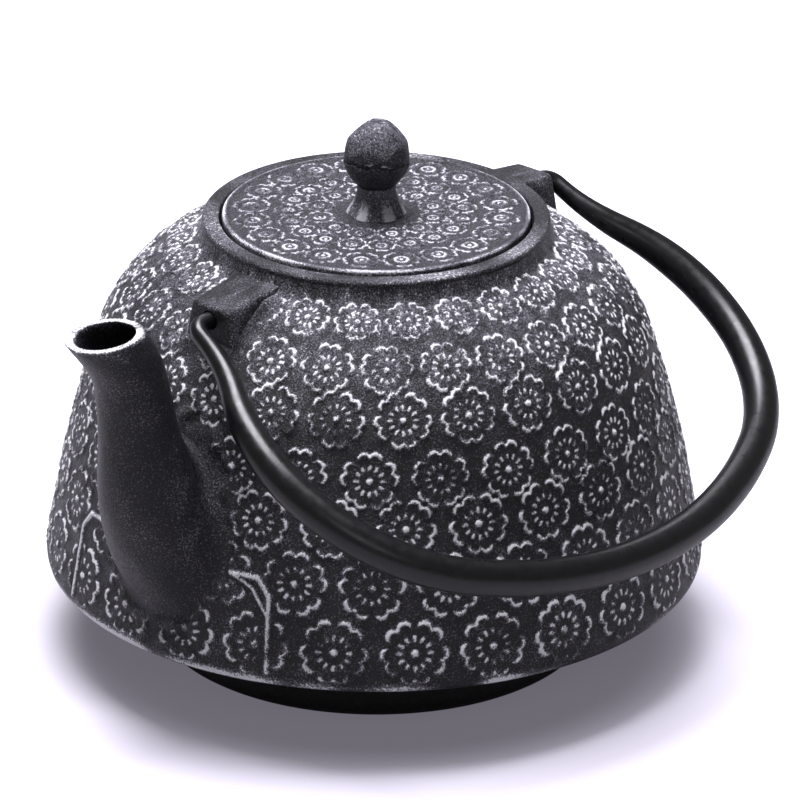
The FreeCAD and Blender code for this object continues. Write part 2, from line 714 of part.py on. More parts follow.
basket = new_body("infuser_wall")
wall_outer = "(%s - size.infuser_sheet - size.infuser_seam_gap)" % band_outer
basket_foot = "(size.ledge_height - size.infuser_depth)"
band_foot = "(size.ledge_height - size.infuser_band_depth)"
basket_outline = outline(new_sketch(basket, "basket_outline", "XZ_Plane"), [
    ("size.infuser_foot_radius - size.infuser_sheet", basket_foot),
    ("size.infuser_foot_radius", basket_foot),
    (wall_outer, band_foot),
    (wall_outer, "size.ledge_height"),
    ("%s - size.infuser_sheet" % wall_outer, "size.ledge_height"),
    ("%s - size.infuser_sheet" % wall_outer, band_foot),
])
turned(basket, "Revolution", "basket_turned", basket_outline)

floor = new_body("infuser_base")
floor_outline = disc(
    new_sketch(floor, "floor_outline", "XY_Plane", {"z": "%s - size.infuser_sheet" % basket_foot}),
    "size.infuser_foot_radius + size.infuser_base_lip")
floor_plate = floor.newObject("PartDesign::Pad", "floor_plate")
floor_plate.Profile = floor_outline
floor_plate.setExpression("Length", "size.infuser_sheet")

doc.recompute()

# Every feature is sound, every cut removes metal, and every piece is one closed solid
for item in doc.Objects:
    if {"Invalid", "Error"} & set(item.State):
        raise RuntimeError("%s did not build: %s" % (item.Label, item.State))
cuts = [base_hollow, base_cut, flank_hollow, flank_foot_cut, flank_top_cut, spout_hole]
cuts += [shoulder_hollow, shoulder_cut, lug_hole, lug_holes, lip_cut, flank_cut, spout_bore]
cuts += [scallops, waist_facets, crown_facets]
for cut in cuts:
    if cut.Shape.Volume >= cut.BaseFeature.Shape.Volume:
        raise RuntimeError("%s removes nothing" % cut.Label)
pieces = [item for item in doc.Objects if item.TypeId == "PartDesign::Body"]
for piece in pieces:
    shape = piece.Shape
    if shape.isNull() or not shape.isValid() or len(shape.Solids) != 1:
        raise RuntimeError("%s is not one valid solid" % piece.Label)

os.makedirs("parts", exist_ok=True)
for piece in pieces:
    piece.Shape.exportStep("parts/%s.step" % piece.Label)
    print("%-14s %9.1f mm3" % (piece.Label, piece.Shape.Volume))
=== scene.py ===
import bpy
import numpy as np
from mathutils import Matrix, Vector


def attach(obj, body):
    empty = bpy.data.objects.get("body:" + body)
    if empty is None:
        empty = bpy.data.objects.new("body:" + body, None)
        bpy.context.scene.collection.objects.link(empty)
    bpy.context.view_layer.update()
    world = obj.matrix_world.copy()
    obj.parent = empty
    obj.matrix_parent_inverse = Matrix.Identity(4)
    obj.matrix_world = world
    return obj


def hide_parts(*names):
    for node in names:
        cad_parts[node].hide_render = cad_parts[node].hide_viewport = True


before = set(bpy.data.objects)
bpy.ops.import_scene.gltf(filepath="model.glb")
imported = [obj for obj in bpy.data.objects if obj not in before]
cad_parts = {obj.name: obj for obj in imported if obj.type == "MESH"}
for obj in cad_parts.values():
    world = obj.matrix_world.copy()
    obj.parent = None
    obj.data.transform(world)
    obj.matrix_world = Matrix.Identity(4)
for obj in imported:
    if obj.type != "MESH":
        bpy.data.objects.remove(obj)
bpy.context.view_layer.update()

# Pot foot: the smooth black underside of the casting, a narrow round foot that flares out to the rim.
# It is cast in one with the wall. Sizes of pieces are in millimetres from the middle of the foot, and
# sizes of grain, lamps, floor and camera are in metres.
MM = 0.001
foot_radius = 58.0
foot_corner = 6.5
foot_height = 13.0
rim_radius = 84.5
rim_height = 20.8
rim_corner = 3.0
wall_thickness = 3.6
floor_thickness = 5.0
cavity_corner = 6.0
well_corner = 2.0
foot_cap_radius = 5.8
foot_columns = 320


def line(start, end, count):
    """Points at even steps from start to end."""
    return np.linspace(start, end, count)


def arc(start, end, radius, count):
    """Points on the arc from start to end.

    Its centre lies left of the way, or right of it if radius is negative.
    """
    start, end = np.array(start, float), np.array(end, float)
    chord = end - start
    span = np.hypot(*chord)
    side = np.array([-chord[1], chord[0]]) / span
    centre = (start + end) / 2 + np.sign(radius) * side * np.sqrt(radius ** 2 - span ** 2 / 4)
    first = np.arctan2(start[1] - centre[1], start[0] - centre[0])
    angles = first + 2 * np.arcsin(span / (2 * radius)) * np.linspace(0, 1, count)
    return centre + abs(radius) * np.column_stack([np.cos(angles), np.sin(angles)])


def chain(*runs):
    """Runs of points joined end to end, each shared end kept once."""
    return np.concatenate([runs[0]] + [run[1:] for run in runs[1:]])


def full_turn(columns):
    """Angles at even steps once round, with the last step left to the first angle."""
    return np.linspace(0, 2 * np.pi, columns, endpoint=False)


def polar(radius, angle, height):
    """Points at a radius and an angle round the upright axis, and at a height."""
    parts = np.broadcast_arrays(radius * np.cos(angle), radius * np.sin(angle), height)
    return np.stack(parts, axis=-1)


def around(profile, columns):
    """Grid of a profile of radius and height turned once round the upright axis."""
    return polar(profile[:, :1], full_turn(columns), profile[:, 1:])


def skin(name, grid, closed=False, caps=(), crease=50.0, **marks):
    """Mesh of a grid whose columns run round, with its faces turned outwards.

    Each row joins the next, and the last joins the first if closed. caps lists the end rows, 0 or -1, that
    a fan of triangles closes. An edge past crease, in degrees, is sharp. marks are values on the vertices.
    """
    rows, columns = grid.shape[:2]
    points = grid.reshape(-1, 3)
    index = np.arange(rows * columns).reshape(rows, columns)
    upper = np.roll(index, -1, axis=0) if closed else index[1:]
    lower = index if closed else index[:-1]
    turn = np.stack([lower, np.roll(lower, -1, axis=1), np.roll(upper, -1, axis=1), upper], axis=-1)
    faces = turn.reshape(-1, 4).tolist()
    for cap in caps:
        ring = index[cap] if cap else index[cap][::-1]
        middle = np.full(columns, len(points))
        points = np.concatenate([points, points[ring].mean(axis=0, keepdims=True)])
        faces += np.stack([ring, np.roll(ring, -1), middle], axis=-1).tolist()
    corners = grid[:-1], np.roll(grid, -1, axis=1)[:-1], grid[1:]
    volume = np.einsum("...i,...i", np.cross(corners[0], corners[1]), corners[2]).sum()
    if volume < 0:
        faces = [face[::-1] for face in faces]
    mesh = bpy.data.meshes.new(name)
    mesh.from_pydata((points * MM).tolist(), [], faces)
    mesh.shade_smooth()
    mesh.set_sharp_from_angle(angle=np.radians(crease))
    for mark, values in marks.items():
        values = np.concatenate([values.ravel(), np.zeros(len(points) - rows * columns)])
        mesh.attributes.new(mark, "FLOAT", "POINT").data.foreach_set("value", values.astype(np.float32))
    piece = bpy.data.objects.new(name, mesh)
    bpy.context.scene.collection.objects.link(piece)
    return piece


def wire(tree, kind, inputs=None, **settings):
    """New node with its settings, its inputs filled with numbers or with other nodes' outputs."""
    made = tree.nodes.new(kind)
    for key, value in settings.items():
        setattr(made, key, value)
    for socket, value in (inputs or {}).items():
        if isinstance(value, bpy.types.NodeSocket):
            tree.links.new(value, made.inputs[socket])
        else:
            made.inputs[socket].default_value = value
    return made.outputs


def work_out(tree, operation, *values):
    """Result of one step of arithmetic on numbers or other nodes' outputs."""
    return wire(tree, "ShaderNodeMath", dict(enumerate(values)), operation=operation)[0]


def band(tree, value, low, high, start=0.0, end=1.0):
    """Soft step of a value from start below low to end above high."""
    sockets = {"Value": value, "From Min": low, "From Max": high, "To Min": start, "To Max": end}
    return wire(tree, "ShaderNodeMapRange", sockets, interpolation_type="SMOOTHSTEP")[0]


def noise(tree, place, scale, detail=3.0, roughness=0.5):
    """Cloudy noise whose broadest waves are one part in scale of a metre, with finer ones as detail rises."""
    sockets = {"Vector": place, "Scale": scale, "Detail": detail, "Roughness": roughness}
    return wire(tree, "ShaderNodeTexNoise", sockets)[0]


def blend_colour(tree, share, first, second):
    """Colour between first and second by share, each a triple or another node's output."""
    first, second = (side + (1.0,) if isinstance(side, tuple) else side for side in (first, second))
    return wire(tree, "ShaderNodeMix", {0: share, 6: first, 7: second}, data_type="RGBA")[2]


def new_material(name):
    """New material, its tree of nodes, its shader, and the place of a point on the piece."""
    material = bpy.data.materials.new(name)
    material.use_nodes = True
    tree = material.node_tree
    return material, tree, tree.nodes["Principled BSDF"], wire(tree, "ShaderNodeTexCoord")["Object"]


def grained(tree, shader, grain, roughness, strength, depth, height=None):
    """Roughness between two values by the grain, and a bump that follows height, or else the grain."""
    grain_edge = (0.3, 0.7)
    tree.links.new(band(tree, grain, *grain_edge, *roughness), shader.inputs["Roughness"])
    raised = {"Strength": strength, "Distance": depth, "Height": grain if height is None else height}
    tree.links.new(wire(tree, "ShaderNodeBump", raised)[0], shader.inputs["Normal"])


def cast_iron(name, ground, speck, silver, speck_share):
    """Sand-cast iron: a dark ground in soft patches, pale specks, and silver where the mark of wear and
    painted highlight is high.

    Specks show where the pits plus a share of that mark pass a level, and silver where the mark plus grain
    do.
    """
    patch_edge, patch_shade = (0.35, 0.65), 0.6
    speck_edge, rub_in_specks = (0.60 - speck_share, 0.80 - speck_share), 0.7
    silver_edge, grain_contrast = (0.36, 0.66), 2.2
    pits_in_height = 0.5
    material, tree, shader, place = new_material(name)
    rub = wire(tree, "ShaderNodeAttribute", attribute_name="rub")["Fac"]
    grain = noise(tree, place, 1700.0, detail=4.0, roughness=0.75)
    pits = noise(tree, place, 2300.0, detail=1.0)
    cloud = noise(tree, place, 70.0, roughness=0.6)
    darker_ground = tuple(patch_shade * channel for channel in ground)
    tone = blend_colour(tree, band(tree, cloud, *patch_edge), ground, darker_ground)
    glint = work_out(tree, "MULTIPLY_ADD", rub, rub_in_specks, pits)
    tone = blend_colour(tree, band(tree, glint, *speck_edge), tone, speck)
    lift = work_out(tree, "MULTIPLY_ADD", grain, grain_contrast, -grain_contrast / 2)
    worn = work_out(tree, "ADD", rub, lift)
    tone = blend_colour(tree, band(tree, worn, *silver_edge), tone, silver)
    tree.links.new(tone, shader.inputs["Base Color"])
    rough = work_out(tree, "MULTIPLY_ADD", pits, pits_in_height, grain)
    grained(tree, shader, grain, roughness=(0.30, 0.46), strength=0.9, depth=0.0005, height=rough)
    shader.inputs["Specular IOR Level"].default_value = 0.38
    return material


def fit(piece, material, body, slot, *nodes):
    """Gives a piece its material and its body, and hides the model's parts for the nodes that it stands for.
    Its slot is not used.
    """
    piece.data.materials.append(material)
    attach(piece, body)
    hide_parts(*nodes)


rim_start = (rim_radius - rim_corner, rim_height)
cavity_start = (rim_radius - wall_thickness - cavity_corner, rim_height + wall_thickness)
well_radius = foot_radius - wall_thickness
well_top = (well_radius, foot_height + wall_thickness)
well_side = (well_radius, floor_thickness + well_corner)
well_floor = (well_radius - well_corner, floor_thickness)
foot_profile = chain(
    line((foot_cap_radius, 0.0), (foot_radius - foot_corner, 0.0), 8),
    arc((foot_radius - foot_corner, 0.0), (foot_radius, foot_corner), foot_corner, 10),
    line((foot_radius, foot_corner), (foot_radius, foot_height), 4),
    line((foot_radius, foot_height), rim_start, 6),
    line(rim_start, cavity_start, 3),
    line(cavity_start, well_top, 5),
    line(well_top, well_side, 4),
    arc(well_side, well_floor, -well_corner, 5),
    line(well_floor, (foot_cap_radius, floor_thickness), 8))
foot_iron = cast_iron(
    "foot_iron", ground=(0.0052, 0.0042, 0.0046), speck=(0.018, 0.016, 0.018),
    silver=(0.88, 0.88, 0.91), speck_share=0.02)
pot_foot = skin("pot_foot", around(foot_profile, foot_columns), caps=(0, -1), crease=35.0)
fit(pot_foot, foot_iron, "pot", "pot_iron", "pot_base")

# Pot wall: flank and shoulder of the casting, with staggered rows of five-petalled blossoms in low relief.
# Raised lines are rubbed with silver, with painted highlight on their upper sides and over the shoulder, and
# flash lines of the mould run down on both sides of the spout.
flank_radius = 339.0
flank_foot_tilt = np.radians(8.8)
flank_top_tilt = np.radians(19.0)
shoulder_radius = 43.3
shoulder_middle = np.array([29.75, 68.85])
collar_radius = 44.1
collar_fillet = 5.0
throat_radius = 37.0
wall_columns = 1300
wall_steps = 256
wall_rings = 4
inner_steps = 7
relief_ground = -0.70
petal_height = 0.50
petal_height_by_line = 0.30
line_height = 0.85
stamen_height = 0.80
dot_height = 1.00
petals = 5
stamens = 12
# run up the wall, blossoms round it, angle of one of them, outer radius, and 1 where a petal points up
blossom_rows = [
    (7.4, 26, -145.2, 8.3, -1),
    (24.1, 26, -152.6, 8.0, 1),
    (38.8, 26, -160.3, 7.4, -1),
    (50.9, 26, -139.4, 7.0, 1),
    (65.9, 26, -160.3, 6.9, -1),
    (78.6, 26, -163.4, 6.4, 1),
    (92.5, 25, -158.0, 5.6, -1),
]


def smooth(value, low, high):
    """Soft step from 0 at low to 1 at high."""
    share = np.clip((value - low) / (high - low), 0, 1)
    return share * share * (3 - 2 * share)


def bell(offset, width, power=2):
    """Bell curve: 1 at no offset, falling by the exponential of minus a power of offset over width."""
    return np.exp(-(offset / width) ** power)


def nearest(angle, pitch):
    """Angle from the nearest of the spokes that stand a pitch apart, one of them at 0."""
    return (angle + pitch / 2) % pitch - pitch / 2


def run_along(points):
    """Distance of each point along a run of points."""
    return np.concatenate([[0], np.cumsum(np.hypot(*np.diff(points, axis=0).T))])


def even(points, count):
    """Points at even steps along a run of points."""
    way = run_along(points)
    steps = np.linspace(0, way[-1], count)
    return np.column_stack([np.interp(steps, way, points[:, 0]), np.interp(steps, way, points[:, 1])])


def outward(profile):
    """Unit normals of a profile, on the right of its way."""
    tangent = np.gradient(profile, axis=0)
    tangent /= np.hypot(*tangent.T)[:, None]
    return np.column_stack([tangent[:, 1], -tangent[:, 0]])


def patchy(shape, size, seed, mean=0.0, spread=1.0):
    """Smooth noise with a mean and a spread: white noise whose waves finer than size are damped by a bell."""
    field = np.random.default_rng(seed).standard_normal(shape)
    waves = np.hypot(np.fft.fftfreq(shape[0])[:, None], np.fft.fftfreq(shape[1])[None, :])
    field = np.fft.ifft2(np.fft.fft2(field) * np.exp(-2 * (np.pi * size * waves) ** 2)).real
    return mean + spread * (field / field.std())


def blossom(across, along, radius):
    """Heights, from 0 to 1, of a blossom's petal faces, their outlines, its stamens and its dot.

    A petal's edge is a circle that dips to a notch at its middle and to a cleft at its sides; the outline
    follows the edge but stops at the cleft. Short stamens stand in a ring round the dot. Lengths inside are
    shares of the radius, and off is 0 along the middle of a petal and 1 along its side.
    """
    notch_depth, notch_width, cleft_depth = 0.13, 0.17, 0.30
    outline_width, stamen_width, dish = 0.075, 0.058, 0.45
    petal_edge, dish_side, outline_end = (-0.05, 0.07), (0.45, 0.9), (0.70, 0.92)
    stamen_foot, stamen_tip, dot_edge = (0.33, 0.41), (0.53, 0.61), (0.07, 0.17)
    reach = np.hypot(across, along) / radius
    angle = np.arctan2(across, along)
    sector = 2 * np.pi / petals
    off = np.abs(nearest(angle, sector)) / (sector / 2)
    edge = 1 - notch_depth * bell(off, notch_width) - cleft_depth * off ** 4
    past = reach - edge
    face = smooth(-past, *petal_edge) * (1 - dish + dish * smooth(reach, *dish_side))
    outline = bell(past, outline_width) * (1 - smooth(off, *outline_end))
    aside = nearest(angle, 2 * np.pi / stamens) * reach
    dashes = bell(aside, stamen_width) * smooth(reach, *stamen_foot) * (1 - smooth(reach, *stamen_tip))
    dot = 1 - smooth(reach, *dot_edge)
    return face, outline, dashes, dot


def flank_start(inset, corner):
    """Place where the corner at the rim runs into the flank, on a wall that is set in by inset."""
    out = rim_radius - inset - corner * (1 - np.cos(flank_foot_tilt))
    return out, rim_height + inset + corner * (1 + np.sin(flank_foot_tilt))


fillet_reach = shoulder_radius + collar_fillet
shoulder_tilt = np.arccos((collar_radius + collar_fillet - shoulder_middle[0]) / fillet_reach)
flank_top_way = np.array([np.cos(flank_top_tilt), np.sin(flank_top_tilt)])
shoulder_top_way = np.array([np.cos(shoulder_tilt), np.sin(shoulder_tilt)])
flank_foot = flank_start(0.0, rim_corner)
flank_top = shoulder_middle + shoulder_radius * flank_top_way
shoulder_top = shoulder_middle + shoulder_radius * shoulder_top_way
fillet_top = (collar_radius, shoulder_middle[1] + fillet_reach * np.sin(shoulder_tilt))
rim_arc = arc(rim_start, flank_foot, rim_corner, 40)
wall_line = even(chain(
    rim_arc,
    arc(flank_foot, flank_top, flank_radius, 400),
    arc(flank_top, shoulder_top, shoulder_radius, 400),
    arc(shoulder_top, fillet_top, -collar_fillet, 60)), wall_steps + 1)
wall_run = run_along(wall_line) - run_along(rim_arc)[-1]
wall_angle = np.linspace(-np.pi, np.pi, wall_columns, endpoint=False)
run, angle = np.meshgrid(wall_run, wall_angle, indexing="ij")
wall_radius = wall_line[:, :1]
wall_height = wall_line[:, 1:]
wall_shape = run.shape

# petal faces on the upper rows get a faint grey wash, a painted sheen of the light from above
petal_rub_runs = (45.0, 90.0)
petal_rub = 0.10 * smooth(run, *petal_rub_runs)
face_height = np.zeros(wall_shape)
line_mark = np.zeros(wall_shape)
for row_run, count, first, radius, up in blossom_rows:
    aside = nearest(angle - np.radians(first), 2 * np.pi / count)
    face, outline, dashes, dot = blossom(aside * wall_radius, (run - row_run) * up, radius)
    petal = np.maximum(petal_height * face, petal_height_by_line * face + line_height * outline)
    face_height = np.maximum.reduce([face_height, petal, stamen_height * dashes, dot_height * dot])
    line_mark = np.maximum.reduce([line_mark, outline, dashes, dot, petal_rub * face])

# the spout's root and the lugs leave the wall plain around them
root_half_width = 15.5
root_half_height = 20.0
root_middle = 56.0
lug_reach = 62.0
lug_half_width = 6.0
lug_margin = 1.5
root_clear = (2.0, 8.0)
lug_clear = (0.6, 3.5)
rim_clear = (-1.2, 0.8)
aside = np.abs(wall_radius * np.sin(angle))
outside = np.abs(wall_radius * np.cos(angle)) - lug_reach
root_gap = np.hypot(aside / root_half_width, (wall_height - root_middle) / root_half_height) - 1
root_gap = np.where(np.cos(angle) < 0, root_gap, 1) * root_half_width
lug_gap = np.hypot(np.maximum(aside - lug_half_width - lug_margin, 0), np.maximum(outside, 0))
lug_gap = np.where(wall_height > root_middle, lug_gap, root_half_width)
clear_of_lug = smooth(lug_gap, *lug_clear)
plain = smooth(root_gap, *root_clear) * clear_of_lug * smooth(run, *rim_clear)

# flash lines as degrees from the spout and run, with a width and the side of the spout, 0 for both
flash_lines = [
    ((15.0, 24.7), (20.2, 24.4), 0.65, 0), ((20.2, 24.4), (22.7, 20.0), 0.65, 0),
    ((22.7, 20.0), (23.9, 0.5), 0.55, 0),
    ((15.0, 24.7), (19.4, 21.6), 0.35, -1), ((19.4, 21.6), (22.8, 15.0), 0.35, -1)]
flash_radius = 0.97 * rim_radius
flash_clearance = 2.0
flash_height = 0.6
relief_by_flash = 0.4
flash = np.zeros(wall_shape)
flash_clear = np.zeros(wall_shape)
side_run = (np.pi - np.abs(angle)) * wall_radius
for start, end, width, side in flash_lines:
    start, end = (np.array([np.radians(turn) * flash_radius, up]) for turn, up in (start, end))
    way = end - start
    share = ((side_run - start[0]) * way[0] + (run - start[1]) * way[1]) / (way @ way)
    share = np.clip(share, 0, 1)
    gap = np.hypot(side_run - start[0] - share * way[0], run - start[1] - share * way[1])
    on_side = angle * side >= 0
    flash = np.maximum(flash, bell(gap, width) * on_side)
    flash_clear = np.maximum(flash_clear, bell(gap, flash_clearance, power=4) * on_side)
plain = plain * (1 - flash_clear)

# the ground of the relief is sunk between rim and collar, with waves of the mould and lumps by the spout
lug_fillet_height = 1.8
lug_fillet_reach = 3.0
lug_fillet_end = (93.0, 99.0)
lump_gap = 5.0
lump_width = 3.0
ground_start = (-3.0, 1.0)
ground_end = (97.0, 101.0)
swell_start = (-4.0, 2.0)
swell = patchy(wall_shape, 14.0, 11, spread=0.10) + patchy(wall_shape, 2.2, 12, spread=0.035)
lug_fillet = lug_fillet_height * np.clip(1 - lug_gap / lug_fillet_reach, 0, 1) ** 2
lug_fillet *= 1 - smooth(run, *lug_fillet_end)
lumps = bell(root_gap - lump_gap, lump_width) * patchy(wall_shape, 3.2, 17, spread=0.36)
lift = relief_ground * smooth(run, *ground_start) * (1 - smooth(run, *ground_end)) + face_height * plain
lift = np.maximum(lift, relief_by_flash * lift + flash_height * flash * clear_of_lug)
lift += lug_fillet + lumps + swell * smooth(run, *swell_start)

# line rub is wear, raised on the upper sides of raised lines as painted highlight and lowered on their lower
# sides as painted shade; the halo is a faint patchy tone plus painted sheen that grows over the shoulder
rim_rub_run = -2.2
rim_rub_width = 1.5
least_wear = 0.15
slope_gain = 2.0
shoulder_painted_sheen = 0.17
shoulder_loss = 0.24
level_rub = 0.92
painted_light_gain = 0.30
flash_rub = 0.35
shoulder_runs = (48.0, 98.0)
halo_start = (-3.0, 0.0)
shoulder_share = smooth(run, *shoulder_runs)
# slopes that face up get painted highlight in the line rub, and slopes that face down get painted shade
lit_side = np.tanh(-slope_gain * np.gradient(face_height, axis=0) / np.gradient(run, axis=0))
rim_rub = bell(run - rim_rub_run, rim_rub_width) * patchy(wall_shape, 11.0, 13, mean=0.40, spread=0.32)
wear = patchy(wall_shape, 10.0, 14, mean=0.76, spread=0.15) + patchy(wall_shape, 2.5, 16, spread=0.14)
wear = np.clip(wear, least_wear, 1.0)
# a faint patchy tone, plus painted sheen that grows up the shoulder where the light from above falls
halo_and_sheen = np.clip(patchy(wall_shape, 3.0, 15, mean=0.01, spread=0.05) + shoulder_painted_sheen * shoulder_share, 0, 1)
line_rub = line_mark * plain * wear * (1 - shoulder_loss * shoulder_share)
line_rub *= level_rub + painted_light_gain * lit_side
rub = np.maximum.reduce([line_rub, flash * (flash_rub + (1 - flash_rub) * wear), rim_rub])
rub = np.clip(rub + halo_and_sheen * smooth(run, *halo_start), 0, 1)

normal = outward(wall_line)
wall_out = polar(wall_radius + lift * normal[:, :1], angle, wall_height + lift * normal[:, 1:])
inner_radius = shoulder_radius - wall_thickness
throat_height = shoulder_middle[1] + np.sqrt(inner_radius ** 2 - (throat_radius - shoulder_middle[0]) ** 2)
cavity_foot = flank_start(wall_thickness, cavity_corner)
cavity_top = shoulder_middle + inner_radius * flank_top_way
inner_line = even(chain(
    arc(cavity_start, cavity_foot, cavity_corner, 30),
    arc(cavity_foot, cavity_top, flank_radius - wall_thickness, 200),
    arc(cavity_top, (throat_radius, throat_height), inner_radius, 200)), wall_rings * inner_steps + 1)
round_wall = np.roll(wall_out, -1, axis=1) - np.roll(wall_out, 1, axis=1)
wall_normal = np.cross(round_wall, np.gradient(wall_out, axis=0))
wall_normal /= np.linalg.norm(wall_normal, axis=-1, keepdims=True)
pot_iron = cast_iron(
    "pot_iron", ground=(0.0030, 0.0024, 0.0042), speck=(0.112, 0.107, 0.132),
    silver=(0.92, 0.92, 0.94), speck_share=0.04)

# the wall is made in rings, which share the normals of the whole so that no line shows between them
ring_steps = wall_steps // wall_rings
ring_nodes = (("pot_base", "pot_flank"), ("pot_flank",), ("pot_flank", "pot_shoulder"), ("pot_shoulder",))
for ring, nodes in enumerate(ring_nodes):
    rows = slice(ring * ring_steps, (ring + 1) * ring_steps + 1)
    lining = inner_line[ring * inner_steps:(ring + 1) * inner_steps + 1][::-1]
    inside = np.roll(around(lining, wall_columns), wall_columns // 2, axis=1)
    grid = np.concatenate([wall_out[rows], inside])
    mark = np.concatenate([rub[rows], np.zeros(inside.shape[:2])])
    piece = skin("pot_wall_%d" % (ring + 1), grid, closed=True, crease=62.0, rub=mark)
    shading = np.empty(len(piece.data.vertices) * 3, np.float32)
    piece.data.vertex_normals.foreach_get("vector", shading)
    shading = shading.reshape(-1, 3)
    shading[:wall_out[rows].size // 3] = wall_normal[rows].reshape(-1, 3)
    piece.data.normals_split_custom_set_from_vertices(shading.tolist())
    fit(piece, pot_iron, "pot", "pot_iron", *nodes)

# Pot collar: the plain turned ring round the mouth, with a ledge inside that carries the infuser and the lid.
# It is cast with the pot and turned clean, so that its edge is worn bright in places.
collar_edge = 0.8
collar_top = 114.6
mouth_radius = 39.8
mouth_edge = 0.5
ledge_height = 109.6
collar_columns = 540
collar_worn_depth = 0.5
collar_least_rub = 0.11
collar_profile = chain(
    line(fillet_top, (collar_radius, collar_top - collar_edge), 3),
    arc((collar_radius, collar_top - collar_edge), (collar_radius - collar_edge, collar_top), collar_edge, 7),
    line((collar_radius - collar_edge, collar_top), (mouth_radius + mouth_edge, collar_top), 8),
    arc((mouth_radius + mouth_edge, collar_top), (mouth_radius, collar_top - mouth_edge), mouth_edge, 5),
    line((mouth_radius, collar_top - mouth_edge), (mouth_radius, ledge_height), 6),
    line((mouth_radius, ledge_height), (throat_radius, ledge_height), 4),
    line((throat_radius, ledge_height), (throat_radius, throat_height), 4),
    line((throat_radius, throat_height), fillet_top, 3)[:-1])
collar_shape = (len(collar_profile), collar_columns)
collar_worn = bell(collar_profile[:, 1:] - collar_top, collar_worn_depth)
collar_worn = collar_worn * patchy(collar_shape, 9.0, 21, mean=0.05, spread=0.10)
collar_rub = np.clip(collar_least_rub + collar_worn, 0, 1)
collar = skin("pot_collar", around(collar_profile, collar_columns), closed=True, crease=40.0, rub=collar_rub)
fit(collar, pot_iron, "pot", "pot_iron", "pot_shoulder")

# Lugs: two blunt wedges that grow out of the collar, each with a blind hole for a tip of the bail.
# They are cast with the pot, and their edges are rounded by the sand.
hinge_height = 105.2
lug_top = 109.0
lug_rise = np.tan(np.radians(6.0))
lug_flank = np.radians(12.0)
lug_flare = 1.0
lug_start = 42.6
lug_sink = 1.9
lug_rounding = 0.9
lug_hole_radius = 2.5
lug_hole_depth = 9.0
lug_columns = 96
lug_steps = 22
lug_end_steps = 5
lug_end_turn = (0.3, 1.57)


def wedge(across, top, foot, half_width, columns, sharpness=12.0):
    """Rounded section of a flat-topped wedge at a place across the pot.

    Round the middle of the section, the reach in each direction is a smooth least of the reaches to its
    planes: the sum of a high power of their inverses, taken back to that power's root.
    """
    turn = full_turn(columns)
    way = np.stack([np.cos(turn), np.sin(turn)])
    middle = (top + foot) / 2
    half = (top - foot) / 2
    flank = (half_width + half * np.tan(lug_flank)) * np.cos(lug_flank)
    planes = [((0, 1), half), ((0, -1), half)]
    planes += [((side * np.cos(lug_flank), np.sin(lug_flank)), flank) for side in (-1, 1)]
    share = sum(np.maximum(np.array(facing) @ way / gap, 0) ** sharpness for facing, gap in planes)
    reach = share ** (-1 / sharpness)
    return np.stack([np.full(columns, across), reach * way[0], middle + reach * way[1]], axis=-1)


lug_end = lug_reach - lug_rounding * (1 - np.sin(np.linspace(*lug_end_turn, lug_end_steps)))
lug_sections = []
for across in np.concatenate([np.linspace(lug_start, lug_reach - lug_rounding, lug_steps), lug_end]):
    rounding = max(across - lug_reach + lug_rounding, 0.0)
    inset = lug_rounding - np.sqrt(max(lug_rounding ** 2 - rounding ** 2, 0))
    wall_at = shoulder_middle[1] + np.sqrt(shoulder_radius ** 2 - (across - shoulder_middle[0]) ** 2)
    top = lug_top + (lug_reach - across) * lug_rise
    half_width = lug_half_width + lug_flare * (lug_reach - across) / (lug_reach - collar_radius)
    lug_sections.append(wedge(across, top - inset, wall_at - lug_sink, half_width - inset, lug_columns))
turn = full_turn(lug_columns)
lug_hole = np.stack([
    np.full(lug_columns, lug_reach), lug_hole_radius * np.cos(turn),
    hinge_height + lug_hole_radius * np.sin(turn)], axis=-1)
last_section = lug_sections[-1]
for share in (0.25, 0.5, 0.75, 1.0):
    lug_sections.append((1 - share) * last_section + share * lug_hole)
for depth in (0.4, 3.0, lug_hole_depth):
    lug_sections.append(lug_hole - np.array([depth, 0, 0]))
lug_grid = np.array(lug_sections)
lug_outer_rows = (np.arange(len(lug_grid)) < lug_steps + lug_end_steps - 1)[:, None]
lug_rub = np.clip(patchy(lug_grid.shape[:2], 3.0, 23, mean=0.12, spread=0.07), 0, 1) * lug_outer_rows
for side, name in ((1, "lug_back"), (-1, "lug_spout")):
    lug = skin(name, lug_grid * np.array([side, 1, 1]), caps=(0, -1), crease=45.0, rub=lug_rub)
    fit(lug, pot_iron, "pot", "pot_iron", "pot_shoulder")

# Spout: a stout bent tube with a flared lip that is cut nearly level, smooth but for the grain of the sand.
# It is cast with the pot, and a soft fillet joins its root to the flank; the cut lip is bare metal.
spout_wall = 2.0
root_bore = 14.5
bore_past_root = 4.0
lip_station = 5
lip_tilt = np.radians(3.0)
lip_rounding = 0.5
root_fillet = 6.0
root_spread = 4.8
root_sink = 0.25
root_flat_out = 0.5
spout_columns = 160
spout_steps = 600
bore_taper_steps = 100
root_rows = 16
neck_rows = 110
bore_rows = 40
# stations up the spout: distance from the axis, height, lean from upright in degrees, outer radius
spout_stations = np.array([
    (66.0, 44.0, 50.0, 19.0),
    (78.0, 55.5, 33.0, 15.8),
    (84.2, 68.0, 18.0, 12.9),
    (87.6, 83.0, 9.0, 10.1),
    (90.0, 97.0, 14.0, 9.2),
    (99.4, 112.9, 40.0, 8.7),
    (105.2, 119.8, 40.0, 8.7)])


def hermite(values, slopes, lengths, count):
    """Smooth run through values with given slopes: a cubic on each stretch between two of them."""
    place = np.linspace(0, len(values) - 1, count)
    stretch = np.minimum(place.astype(int), len(values) - 2)
    share = (place - stretch)[:, None]
    span = lengths[stretch][:, None]
    low, high = values[stretch], values[stretch + 1]
    low_slope, high_slope = slopes[stretch] * span, slopes[stretch + 1] * span
    bow = low_slope * share * (1 - share) ** 2 - high_slope * share * share * (1 - share)
    return low + (high - low) * share * share * (3 - 2 * share) + bow


